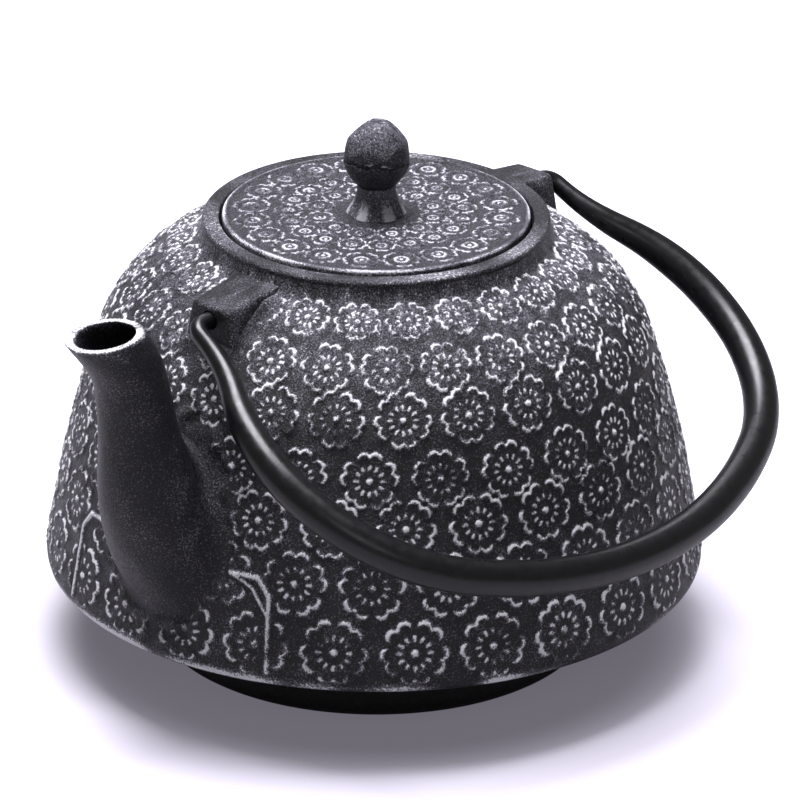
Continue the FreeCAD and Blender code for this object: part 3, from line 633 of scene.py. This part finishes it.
def tube(radii):
    """Grid of round sections square to the spout's axis."""
    turn = full_turn(spout_columns)
    square = np.stack([spout_way[:, 1], np.zeros(spout_steps), -spout_way[:, 0]], axis=-1)
    level = np.array([0.0, 1.0, 0.0])
    ring = np.cos(turn)[:, None] * square[:, None] + np.sin(turn)[:, None] * level
    return spout_axis[:, None] + radii[:, None, None] * ring


def first_past(grid, gap):
    """Place along each column of a tube where the gap first turns positive, as a number of steps."""
    step = np.argmax(gap > 0, axis=0)
    columns = np.arange(grid.shape[1])
    before, after = gap[step - 1, columns], gap[step, columns]
    return step - 1 + before / (before - after)


def along(grid, place):
    """Points of a tube at a number of steps along each of its columns."""
    low = np.minimum(place.astype(int), len(grid) - 2)
    columns = np.arange(grid.shape[1])
    share = (place - low)[..., None]
    return grid[low, columns] * (1 - share) + grid[low + 1, columns] * share


def lip_gap(grid):
    """Height above the plane of the lip, which tilts about its middle."""
    lip_out, lip_height = spout_stations[lip_station, :2]
    return grid[..., 2] - lip_height - (grid[..., 0] + lip_out) * np.tan(lip_tilt)


lean = np.radians(spout_stations[:, 2])
station_way = np.stack([-np.sin(lean), np.cos(lean)], axis=-1)
station_place = np.stack([-spout_stations[:, 0], spout_stations[:, 1]], axis=-1)
station_run = run_along(station_place)
station_gap = np.diff(station_run)
step_length = station_run[-1] / spout_steps
axis_line = hermite(station_place, station_way, station_gap, spout_steps)
spout_way = np.gradient(axis_line, axis=0)
spout_way /= np.hypot(*spout_way.T)[:, None]
spout_axis = np.stack([axis_line[:, 0], np.zeros(spout_steps), axis_line[:, 1]], axis=-1)
radius_slope = np.gradient(spout_stations[:, 3], station_run)
outer_radii = hermite(spout_stations[:, 3:], radius_slope[:, None], station_gap, spout_steps)[:, 0]
root_wall = spout_stations[0, 3] - spout_wall - root_bore
bore_radii = outer_radii - spout_wall - root_wall * (1 - smooth(np.arange(spout_steps), 0, bore_taper_steps))
outer = tube(outer_radii)
bore = tube(bore_radii)

# the root bends from a line on the wall, outside the place where tube and wall cross, up to the tube
wall_at_height = np.interp(outer[..., 2], wall_line[:, 1], wall_line[:, 0])
root_place = first_past(outer, np.hypot(outer[..., 0], outer[..., 1]) - wall_at_height)
leave = root_place + root_fillet / step_length
crossing = along(outer, root_place)
crossing_angle = np.arctan2(crossing[:, 1], -crossing[:, 0])
crossing_run = crossing_angle * np.hypot(crossing[:, 0], crossing[:, 1])
spread = np.stack([crossing_run, crossing[:, 2] - root_middle], axis=-1)
spread += root_spread * spread / np.hypot(*spread.T)[:, None]
root_height = root_middle + spread[:, 1]
root_radius = np.interp(root_height, wall_line[:, 1], wall_line[:, 0]) + relief_ground - root_sink
root_angle = spread[:, 0] / (root_radius + root_flat_out)
root_line = polar(root_radius, np.pi - root_angle, root_height)
bend = np.linspace(0, 1, root_rows)[:, None, None]
root_grid = (1 - bend) ** 2 * root_line + 2 * bend * (1 - bend) * crossing + bend ** 2 * along(outer, leave)

# the neck runs up to the cut lip, and the bore down from it into the pot
lip_outer = first_past(outer, lip_gap(outer))
lip_bore = first_past(bore, lip_gap(bore))
neck_end = lip_outer - lip_rounding / step_length
neck_grid = along(outer, leave + (neck_end - leave) * np.linspace(0, 1, neck_rows)[1:, None])
lip_edge, bore_edge = along(outer, lip_outer), along(bore, lip_bore)
lip_rows = np.array([lip_edge + (bore_edge - lip_edge) * share for share in (0.12, 0.35, 0.65, 0.88)])
bore_start = lip_bore - lip_rounding / step_length
bore_end = root_place + bore_past_root / step_length
bore_grid = along(bore, bore_start + (bore_end - bore_start) * np.linspace(0, 1, bore_rows)[:, None])
spout_grid = np.concatenate([root_grid, neck_grid, lip_rows, bore_grid])
outer_rows = len(root_grid) + len(neck_grid)
outside = spout_grid[:outer_rows]
uneven = patchy((outer_rows, spout_columns), 3.0, 31, spread=0.004)
outside += (outside - outside.mean(axis=1, keepdims=True)) * uneven[..., None]

# rub of the lip and of the neck, each a mean and a spread, and rows from the lip that it reaches
lip_rub = (0.60, 0.08)
neck_rub = (0.03, 0.05)
lip_rub_width = 2.6
rub_past_lip = 3
row_number = np.arange(len(spout_grid))[:, None]
lip_mark = bell(row_number - outer_rows - (len(lip_rows) - 1) / 2, lip_rub_width)
spout_noise = patchy(spout_grid.shape[:2], 5.0, 32)
spout_rub = lip_mark * (lip_rub[0] + lip_rub[1] * spout_noise) + neck_rub[0] + neck_rub[1] * spout_noise
spout_rub = np.clip(spout_rub, 0, 1) * (row_number < outer_rows + len(lip_rows) + rub_past_lip)
spout = skin("spout_skin", spout_grid, caps=(0, -1), crease=50.0, rub=spout_rub)
fit(spout, pot_iron, "pot", "pot_iron", "spout")

# Lid: a flat cast plate that drops inside the collar, with a skirt below that keeps it in the infuser.
# Three rings of small blossoms round the knob are rubbed with silver, and so is its edge.
lid_top = 115.5
lid_radius = 39.0
lid_edge = 0.7
lid_edge_steps = 7
lid_seat = 110.4
lid_under = 112.0
skirt_outer = 34.95
skirt_inner = 31.95
skirt_foot = 105.4
shank_hole = 2.7
lid_columns = 760
lid_ground = -0.25
lid_petal_height = 0.15
lid_line_height = 0.35
lid_least_rub = 0.03
lid_worn_in = 0.3
lid_worn_width = 0.5
lid_worn_depth = 1.0
lid_relief_start = (8.0, 10.0)
lid_relief_end = (lid_radius - 2.0, lid_radius - 1.2)
# radius of the ring, blossoms in it, angle of one of them, outer radius of a blossom
lid_rings = [(31.8, 20, 179.0, 4.6), (22.2, 19, 187.0, 3.6), (14.8, 12, 177.0, 3.6)]
# radius and width of the line round a blossom's dot, as shares of its outer radius
eye_radius = 0.36
eye_width = 0.09
lid_face = line((shank_hole, lid_top), (lid_radius - lid_edge, lid_top), 96)
lid_profile = chain(
    lid_face,
    arc((lid_radius - lid_edge, lid_top), (lid_radius, lid_top - lid_edge), -lid_edge, lid_edge_steps),
    line((lid_radius, lid_top - lid_edge), (lid_radius, lid_seat), 4),
    line((lid_radius, lid_seat), (skirt_outer, lid_seat), 3),
    line((skirt_outer, lid_seat), (skirt_outer, skirt_foot), 4),
    line((skirt_outer, skirt_foot), (skirt_inner, skirt_foot), 3),
    line((skirt_inner, skirt_foot), (skirt_inner, lid_under), 4),
    line((skirt_inner, lid_under), (shank_hole, lid_under), 6))
lid_shape = (len(lid_profile), lid_columns)
lid_angle = full_turn(lid_columns)
lid_out = lid_profile[:, :1]
lid_upper = (np.arange(len(lid_profile)) < len(lid_face) + lid_edge_steps - 1)[:, None]
lid_relief = np.zeros(lid_shape)
lid_mark = np.zeros(lid_shape)
for ring_radius, count, first, radius in lid_rings:
    aside = nearest(lid_angle - np.radians(first), 2 * np.pi / count) * lid_out
    face, outline, _, dot = blossom(aside, lid_out - ring_radius, radius)
    eye = bell(np.hypot(aside, lid_out - ring_radius) / radius - eye_radius, eye_width)
    mark = np.maximum.reduce([outline, eye, dot])
    lid_relief = np.maximum(lid_relief, lid_petal_height * face + lid_line_height * mark)
    lid_mark = np.maximum(lid_mark, mark)
lid_wear = patchy(lid_shape, 6.0, 41, mean=0.62, spread=0.14) + patchy(lid_shape, 2.0, 44, spread=0.14)
edge_worn = bell(lid_out - lid_radius + lid_worn_in, lid_worn_width)
edge_worn = edge_worn * (lid_profile[:, 1:] > lid_top - lid_worn_depth)
edge_worn = edge_worn * patchy(lid_shape, 8.0, 42, mean=0.55, spread=0.18)
lid_rub = np.clip(lid_mark * np.clip(lid_wear, 0, 1) + edge_worn + lid_least_rub, 0, 1) * lid_upper
lid_lift = lid_ground + lid_relief + patchy(lid_shape, 3.0, 43, spread=0.03)
lid_lift *= smooth(lid_out, *lid_relief_start) * (1 - smooth(lid_out, *lid_relief_end)) * lid_upper
lid_grid = around(lid_profile, lid_columns)
lid_grid[..., 2] += lid_lift
lid_iron = cast_iron(
    "lid_iron", ground=(0.008, 0.0075, 0.012), speck=(0.125, 0.122, 0.148),
    silver=(0.74, 0.74, 0.78), speck_share=0.085)
lid = skin("lid_plate", lid_grid, closed=True, crease=50.0, rub=lid_rub)
fit(lid, lid_iron, "lid", "lid_iron", "lid")

# Knob seat: a short cast stem that spreads into six soft lobes on the lid, bright at its foot with wear and
# painted highlight, and pale all over with painted sheen.
# The knob's shank runs down through it.
seat_height = 7.6
seat_sink = 0.3
seat_foot_radius = 7.6
seat_neck_radius = 4.9
seat_flare_start = -0.35
seat_flare_power = 1.4
seat_flare_share = 0.72
seat_lobes = 6
seat_turn = np.radians(-110.0)
lobe_depth = 0.11
lobe_fade = 0.8
lobe_power = 0.6
seat_least_rub = 0.30
bright_rise = (0.25, 0.95)
bright_lobe = (-0.3, 0.9)
seat_columns = 240
seat_rise = np.linspace(0, 1, 46)
seat_angle = full_turn(seat_columns)
seat_flare = (1 - smooth(seat_rise, seat_flare_start, 1.0)) ** seat_flare_power / seat_flare_share
seat_radius = seat_neck_radius + (seat_foot_radius - seat_neck_radius) * seat_flare
seat_radius = np.minimum(seat_radius, seat_foot_radius)
seat_lobe = np.cos(seat_lobes * (seat_angle - seat_turn))
seat_groove = np.outer(1 - lobe_fade * seat_rise, np.abs((seat_lobe + 1) / 2) ** lobe_power - 1)
seat_reach = seat_radius[:, None] * (1 + lobe_depth * seat_groove)
seat_level = lid_top - seat_sink + (seat_height + seat_sink) * seat_rise
seat_grid = polar(seat_reach, seat_angle, seat_level[:, None])
# the lobes' crests are bright at the foot, partly wear and partly painted highlight, and the least rub over
# the whole stem is painted sheen
seat_wear_and_highlight = np.outer(smooth(1 - seat_rise, *bright_rise), smooth(seat_lobe, *bright_lobe))
seat_wear_and_highlight = seat_wear_and_highlight * patchy(seat_reach.shape, 3.0, 51, mean=0.70, spread=0.20)
seat_rub = np.clip(seat_wear_and_highlight + seat_least_rub, 0, 1)
seat = skin("seat_stem", seat_grid, caps=(0, -1), crease=60.0, rub=seat_rub)
fit(seat, lid_iron, "lid", "lid_iron", "knob_seat")

# Knob: a bud-shaped ball with uneven hammered flats above a crease, and a smooth bowl below it.
# It is cast with its shank, and the upper flats are rubbed.
knob_base = 123.1
knob_middle = 130.7
knob_top = 140.6
knob_drop = 0.8
knob_radius = 8.5
knob_columns = 160
knob_rows = 110
knob_crown = 0.94
knob_upper = (knob_top - knob_middle - knob_drop) / knob_crown
knob_lower = 8.8
# elevation and bearing of each flat in degrees, and its distance from the middle of a ball of unit radius
knob_flats = [(87, 40, knob_crown), (-90, 0, (knob_middle - knob_base) / knob_lower)]
knob_flats += [(38 + 9 * (side % 2), -118 + 72 * side, 0.885 + 0.012 * (side % 3)) for side in range(5)]
knob_flats += [(12 - 8 * (side % 2), -100 + 57 * side, 0.95 + 0.012 * (side % 2)) for side in range(6)]
knob_sharpness = 120.0
# height of the crease, and the size, count and start of the waves in it
crease_height = -0.5
crease_waves = [(0.45, 2, 0.6), (0.25, 7, 0.0), (0.15, 17, 0.0)]
crease_depth = 0.065
crease_width = 0.34
pit_bearing = np.radians(-158.0)
pit_rise = -0.03
pit_depth = 0.10
pit_width = 0.09
crown_rub = 0.26
crown_edge = (0.2, 0.8)
crease_rub = 0.70
crease_rub_height = 0.45
crease_rub_width = 0.35
crease_rub_patch = (-0.5, 0.5)
knob_rise, knob_turn = np.meshgrid(
    np.radians(np.linspace(-88.0, 89.0, knob_rows)), full_turn(knob_columns), indexing="ij")
knob_way = polar(np.cos(knob_rise), knob_turn, np.sin(knob_rise))
knob_share = np.ones(knob_rise.shape)
for rise, bearing, gap in knob_flats:
    rise, bearing = np.radians(rise), np.radians(bearing)
    facing = polar(np.cos(rise), bearing, np.sin(rise))
    knob_share += np.maximum(knob_way @ facing / gap, 0) ** knob_sharpness
knob_reach = knob_share ** (-1 / knob_sharpness)
knob_reach *= patchy(knob_rise.shape, 3.0, 61, mean=1.0, spread=0.006)
crease_wave = sum(size * np.sin(count * knob_turn + start) for size, count, start in crease_waves)
above_crease = knob_reach * np.sin(knob_rise) * knob_radius - crease_height - crease_wave
knob_reach *= 1 - crease_depth * bell(above_crease, crease_width)
pit_way = np.array([np.cos(pit_bearing), np.sin(pit_bearing), pit_rise])
knob_reach *= 1 - pit_depth * bell(np.linalg.norm(knob_way - pit_way, axis=-1), pit_width)
knob_grid = knob_reach[..., None] * knob_way * knob_radius
knob_grid[..., 2] *= np.where(knob_rise > 0, knob_upper, knob_lower) / knob_radius
knob_grid[..., 2] += knob_middle
knob_rub = crown_rub * smooth(knob_rise, *crown_edge)
knob_rub *= patchy(knob_rise.shape, 6.0, 62, mean=0.75, spread=0.35)
crease_worn = smooth(patchy(knob_rise.shape, 2.0, 63), *crease_rub_patch)
knob_rub += crease_rub * bell(above_crease - crease_rub_height, crease_rub_width) * crease_worn
knob = skin("knob_ball", knob_grid, caps=(0, -1), crease=60.0, rub=np.clip(knob_rub, 0, 1))
fit(knob, lid_iron, "lid", "lid_iron", "knob")

# Washer and nut: plain steel pieces under the lid that hold the knob; they keep their modelled form.
# Turned and pressed parts have a fine brushed grain.


def brushed_steel(name, colour, grain_scale):
    """Bare steel with a fine grain that varies its shine."""
    material, tree, shader, place = new_material(name)
    grain = noise(tree, place, grain_scale)
    grained(tree, shader, grain, roughness=(0.26, 0.44), strength=0.2, depth=0.00005)
    shader.inputs["Base Color"].default_value = colour + (1.0,)
    shader.inputs["Metallic"].default_value = 1.0
    return material


fastener_steel = brushed_steel("fastener_steel", (0.52, 0.52, 0.54), 1800.0)
for name in ("knob_washer", "knob_nut"):
    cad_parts[name].data.materials.clear()
    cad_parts[name].data.materials.append(fastener_steel)

# Bail: one round steel rod, thick at the crown and drawn thin at the waists, whose tips hook into the lugs.
# It is bent in one plane, hangs over the flank, and has a smooth satin black paint.
bail_reach = 108.0
bail_half_width = 80.8
bail_crown_radius = 112.0
bail_corner_radius = 52.0
bail_waist_radius = 45.0
bail_waist_turn = np.radians(30.0)
bail_toe_out = np.radians(4.2)
bail_droop = np.radians(30.0)
bail_tip_gap = 1.2
bail_tip = lug_reach - lug_hole_depth + bail_tip_gap
bail_step = 0.9
bail_least_steps = 10
bail_tip_steps = 9
bail_columns = 40
# thickness at the crown, the middle and end of the waist, the middle and end of the ankle, and the tip
bail_thicknesses = (9.2, 8.5, 7.0, 5.4, 4.4, 4.0)
thickness_blend = 13
bail_middle = bail_half_width - bail_corner_radius
crown_gap = bail_crown_radius - bail_corner_radius
bail_turn = np.arcsin(bail_middle / crown_gap)
bail_centre = bail_reach - bail_crown_radius + np.sqrt(crown_gap ** 2 - bail_middle ** 2)
ankle_along = (
    bail_centre - (bail_corner_radius + bail_waist_radius) * np.sin(bail_waist_turn)
    + bail_waist_radius * np.sin(bail_toe_out))
tip_bend = ankle_along / (1 - np.sin(bail_toe_out))
# radius of each bend on the way from the crown to the tip, and the heading at its end
bail_bends = [
    (bail_crown_radius, bail_turn), (bail_corner_radius, np.pi / 2 + bail_waist_turn),
    (bail_waist_radius, np.pi / 2 + bail_toe_out), (tip_bend, np.pi)]
heading = [np.zeros(1)]
lengths = [np.zeros(0)]
for radius, end in bail_bends:
    start = heading[-1][-1]
    steps = max(int(radius * abs(end - start) / bail_step), bail_least_steps)
    heading.append(np.linspace(start, end, steps + 1)[1:])
    lengths.append(np.full(steps, radius * abs(end - start) / steps))
heading = np.concatenate(heading)
lengths = np.concatenate(lengths)
mean_heading = (heading[1:] + heading[:-1]) / 2
bail_across = np.concatenate([[0], np.cumsum(lengths * np.cos(mean_heading))])
bail_along = bail_reach - np.concatenate([[0], np.cumsum(lengths * np.sin(mean_heading))])
# what the steps leave over at the tip is taken up by a high power of the way along the rod
take_up_power = 8
bail_along -= bail_along[-1] * np.linspace(0, 1, len(bail_along)) ** take_up_power
tip_across = np.linspace(bail_across[-1], bail_tip, bail_tip_steps + 1)[1:]
bail_across = np.concatenate([bail_across, tip_across])
bail_along = np.concatenate([bail_along, np.zeros(bail_tip_steps)])
heading = np.concatenate([heading, np.full(bail_tip_steps, np.pi)])
bail_run = run_along(np.column_stack([bail_across, bail_along]))
corner_end = bail_crown_radius * bail_turn + bail_corner_radius * (np.pi / 2 - bail_turn)
waist_run = bail_corner_radius * bail_waist_turn
ankle_run = bail_waist_radius * (bail_waist_turn - bail_toe_out)
thick_at = corner_end + np.array([
    0, waist_run / 2, waist_run, waist_run + ankle_run / 2, waist_run + ankle_run, bail_run[-1]])
bail_thickness = np.pad(np.interp(bail_run, thick_at, bail_thicknesses), thickness_blend // 2, mode="edge")
bail_thickness = np.convolve(bail_thickness, np.ones(thickness_blend) / thickness_blend, mode="valid")
half_rod = np.stack([bail_across, bail_along, heading, bail_thickness / 2], axis=-1)
far_rod = half_rod[:0:-1] * np.array([-1, 1, -1, 1])
rod = np.concatenate([far_rod, half_rod])
rod_turn = full_turn(bail_columns)
rod_side = rod[:, 3:] * np.cos(rod_turn)
rod_up = rod[:, 3:] * np.sin(rod_turn)
rod_across = rod[:, :1] + rod_side * np.sin(rod[:, 2:3])
rod_along = rod[:, 1:2] + rod_side * np.cos(rod[:, 2:3])
rod_up = rod_up + patchy(rod_up.shape, 5.0, 71, spread=0.05)
rod_grid = np.stack([
    rod_across,
    -rod_along * np.cos(bail_droop) + rod_up * np.sin(bail_droop),
    hinge_height - rod_along * np.sin(bail_droop) - rod_up * np.cos(bail_droop)], axis=-1)
bail_paint, tree, shader, place = new_material("bail_paint")
ripple = noise(tree, place, 420.0)
grained(tree, shader, ripple, roughness=(0.27, 0.36), strength=0.05, depth=0.0001)
shader.inputs["Base Color"].default_value = (0.003, 0.003, 0.0036, 1.0)
shader.inputs["Specular IOR Level"].default_value = 0.44
bail = skin("bail_rod", rod_grid, caps=(0, -1), crease=50.0)
fit(bail, bail_paint, "bail", "bail_paint", "bail_handle")

# Infuser: a pressed steel ring on the ledge, a tapered wall of pierced sheet and a flat floor.
# It lifts out once the lid is off, and only its ring meets the pot.
flange_inner = 35.65
flange_outer = 39.2
flange_edge = 0.25
flange_foot_edge = 0.2
sheet_gauge = 0.5
band_outer = 36.7
band_foot = 104.6
basket_outer = 36.15
basket_foot_radius = 30.0
basket_foot = 55.6
basket_lip = 0.5
floor_cap_radius = 1.0
infuser_columns = 180
sheet_colour = (0.66, 0.66, 0.67)
hole_colour = (0.03, 0.03, 0.03)
hole_edge = (0.62, 0.48)
holes_round = 72.0
# the rows of holes follow a wave of so many radians in a metre
hole_row_wave = 2000.0
infuser_steel = brushed_steel("infuser_steel", sheet_colour, 1400.0)
tree = infuser_steel.node_tree
place = wire(tree, "ShaderNodeTexCoord")["Object"]
x, y = list(wire(tree, "ShaderNodeSeparateXYZ", {0: place}))[:2]
bearing = work_out(tree, "ARCTAN2", y, x)
distance = wire(tree, "ShaderNodeVectorMath", {0: place}, operation="LENGTH")["Value"]
columns = work_out(tree, "COSINE", work_out(tree, "MULTIPLY", bearing, holes_round))
rows = work_out(tree, "COSINE", work_out(tree, "MULTIPLY", distance, hole_row_wave))
pierced = band(tree, work_out(tree, "MULTIPLY", columns, rows), *hole_edge)
sheet_tone = blend_colour(tree, pierced, hole_colour, sheet_colour)
tree.links.new(sheet_tone, tree.nodes["Principled BSDF"].inputs["Base Color"])
band_inner = band_outer - sheet_gauge
basket_inner = basket_outer - sheet_gauge
floor_radius = basket_foot_radius + basket_lip
ring_profile = np.array([
    (band_inner, band_foot), (band_outer, band_foot), (band_outer, ledge_height),
    (flange_outer - flange_foot_edge, ledge_height), (flange_outer, ledge_height + flange_foot_edge),
    (flange_outer, lid_seat - flange_edge), (flange_outer - flange_edge, lid_seat),
    (flange_inner + flange_edge, lid_seat), (flange_inner, lid_seat - flange_edge),
    (flange_inner, ledge_height), (band_inner, ledge_height)])
basket_profile = np.array([
    (basket_foot_radius - sheet_gauge, basket_foot), (basket_foot_radius, basket_foot),
    (basket_outer, band_foot), (basket_outer, ledge_height),
    (basket_inner, ledge_height), (basket_inner, band_foot)])
floor_profile = np.array([
    (floor_cap_radius, basket_foot - sheet_gauge), (floor_radius, basket_foot - sheet_gauge),
    (floor_radius, basket_foot), (floor_cap_radius, basket_foot)])
for name, profile, closed, steel, node in (
        ("strainer_ring", ring_profile, True, fastener_steel, "infuser_rim"),
        ("strainer_wall", basket_profile, True, infuser_steel, "infuser_wall"),
        ("strainer_floor", floor_profile, False, infuser_steel, "infuser_base")):
    caps = () if closed else (0, -1)
    piece = skin(name, around(profile, infuser_columns), closed=closed, caps=caps, crease=40.0)
    fit(piece, steel, "infuser", "infuser_steel", node)

# Stage: a white paper floor that keeps the pot's soft shadow, in a white room that hardly lights the pot.
# Near the pot the floor's glow is weaker, a painted shadow round its foot.
# A broad lamp hangs overhead, with a weak one behind and another in front.
floor_half = 6.0
floor_level = -0.0001
paper_colour = (0.42, 0.409, 0.435, 1.0)
glow_colour = (1.0, 0.94, 1.14, 1.0)
shadow_radius = 0.07
glow_radius = 0.125
shadow_glow = 0.135
mirrored_share = 0.2
room_light = 0.03


def background_share(tree):
    """Share of the white background that a ray meets: all from the camera, less off metal or in glass."""
    path = wire(tree, "ShaderNodeLightPath")
    mirrored = work_out(tree, "MAXIMUM", path["Is Glossy Ray"], path["Is Transmission Ray"])
    return work_out(tree, "MULTIPLY_ADD", mirrored, mirrored_share, path["Is Camera Ray"])


def lamp(name, place, aim, width, depth, power, colour):
    """Soft rectangular lamp at a place, turned to face aim."""
    light = bpy.data.lights.new(name, "AREA")
    light.shape = "RECTANGLE"
    light.size = width
    light.size_y = depth
    light.energy = power
    light.color = colour
    holder = bpy.data.objects.new(name, light)
    holder.location = place
    facing = Vector(aim) - Vector(place)
    holder.rotation_euler = facing.to_track_quat("-Z", "Y").to_euler()
    bpy.context.scene.collection.objects.link(holder)


corner_sides = ((-1, -1), (1, -1), (1, 1), (-1, 1))
floor_corners = [(x * floor_half, y * floor_half, floor_level) for x, y in corner_sides]
floor_mesh = bpy.data.meshes.new("floor")
floor_mesh.from_pydata(floor_corners, [], [(0, 1, 2, 3)])
floor = bpy.data.objects.new("floor", floor_mesh)
bpy.context.scene.collection.objects.link(floor)
floor_paper, tree, paper, place = new_material("floor_paper")
paper.inputs["Base Color"].default_value = paper_colour
paper.inputs["Roughness"].default_value = 0.9
paper.inputs["Specular IOR Level"].default_value = 0.1
distance = wire(tree, "ShaderNodeVectorMath", {0: place}, operation="LENGTH")["Value"]
# the glow seen from the camera is weak within the shadow radius and full past the glow radius, a lilac
# painted shadow round the pot
painted_shadow_fade = band(tree, distance, shadow_radius, glow_radius, shadow_glow, 1.0)
seen = band(tree, background_share(tree), 0.0, 1.0, 0.0, painted_shadow_fade)
glow = wire(tree, "ShaderNodeEmission", {"Color": glow_colour, "Strength": seen})[0]
both = wire(tree, "ShaderNodeAddShader", {0: paper.outputs[0], 1: glow})[0]
tree.links.new(both, tree.nodes["Material Output"].inputs["Surface"])
floor_mesh.materials.append(floor_paper)
lamp("overhead", place=(0.03, 0.23, 1.32), aim=(0, 0, 0.05), width=0.74, depth=0.74, power=38.0,
     colour=(0.94, 0.925, 1.0))
lamp("back", place=(0.85, 0.75, 0.85), aim=(0, 0, 0.08), width=0.7, depth=0.35, power=2.2,
     colour=(0.90, 0.90, 1.0))
lamp("front", place=(-1.1, -1.3, 1.1), aim=(0, 0, 0.06), width=0.6, depth=0.6, power=2.2,
     colour=(1.0, 0.98, 1.0))
world = bpy.data.worlds.new("room")
bpy.context.scene.world = world
world.use_nodes = True
tree = world.node_tree
seen = background_share(tree)
room = wire(tree, "ShaderNodeMapRange", {"Value": seen, "To Min": room_light, "To Max": 1.0})[0]
tree.links.new(room, tree.nodes["Background"].inputs["Strength"])
tree.nodes["Background"].inputs["Color"].default_value = (1.0, 1.0, 1.0, 1.0)

# Camera: a long lens in front and to the spout's right, looking down by about a quarter of a right angle.
# It stands far off, so that the pot is seen with little perspective, and is rolled by half a degree.
camera_place = (-1.2128, -1.0749, 0.7809)
camera_way = (0.6867, 0.6038, -0.4048)
camera_roll = 0.0087
camera_data = bpy.data.cameras.new("camera")
camera_data.sensor_width = 36.0
camera_data.lens = 311.77
camera_data.clip_end = 50.0
camera = bpy.data.objects.new("camera", camera_data)
camera.location = camera_place
level = Vector(camera_way).to_track_quat("-Z", "Y").to_matrix()
roll = Matrix.Rotation(camera_roll, 3, "Z")
camera.rotation_euler = (level @ roll).to_euler()
bpy.context.scene.collection.objects.link(camera)
bpy.context.scene.camera = camera
bpy.context.scene.view_settings.view_transform = "Standard"
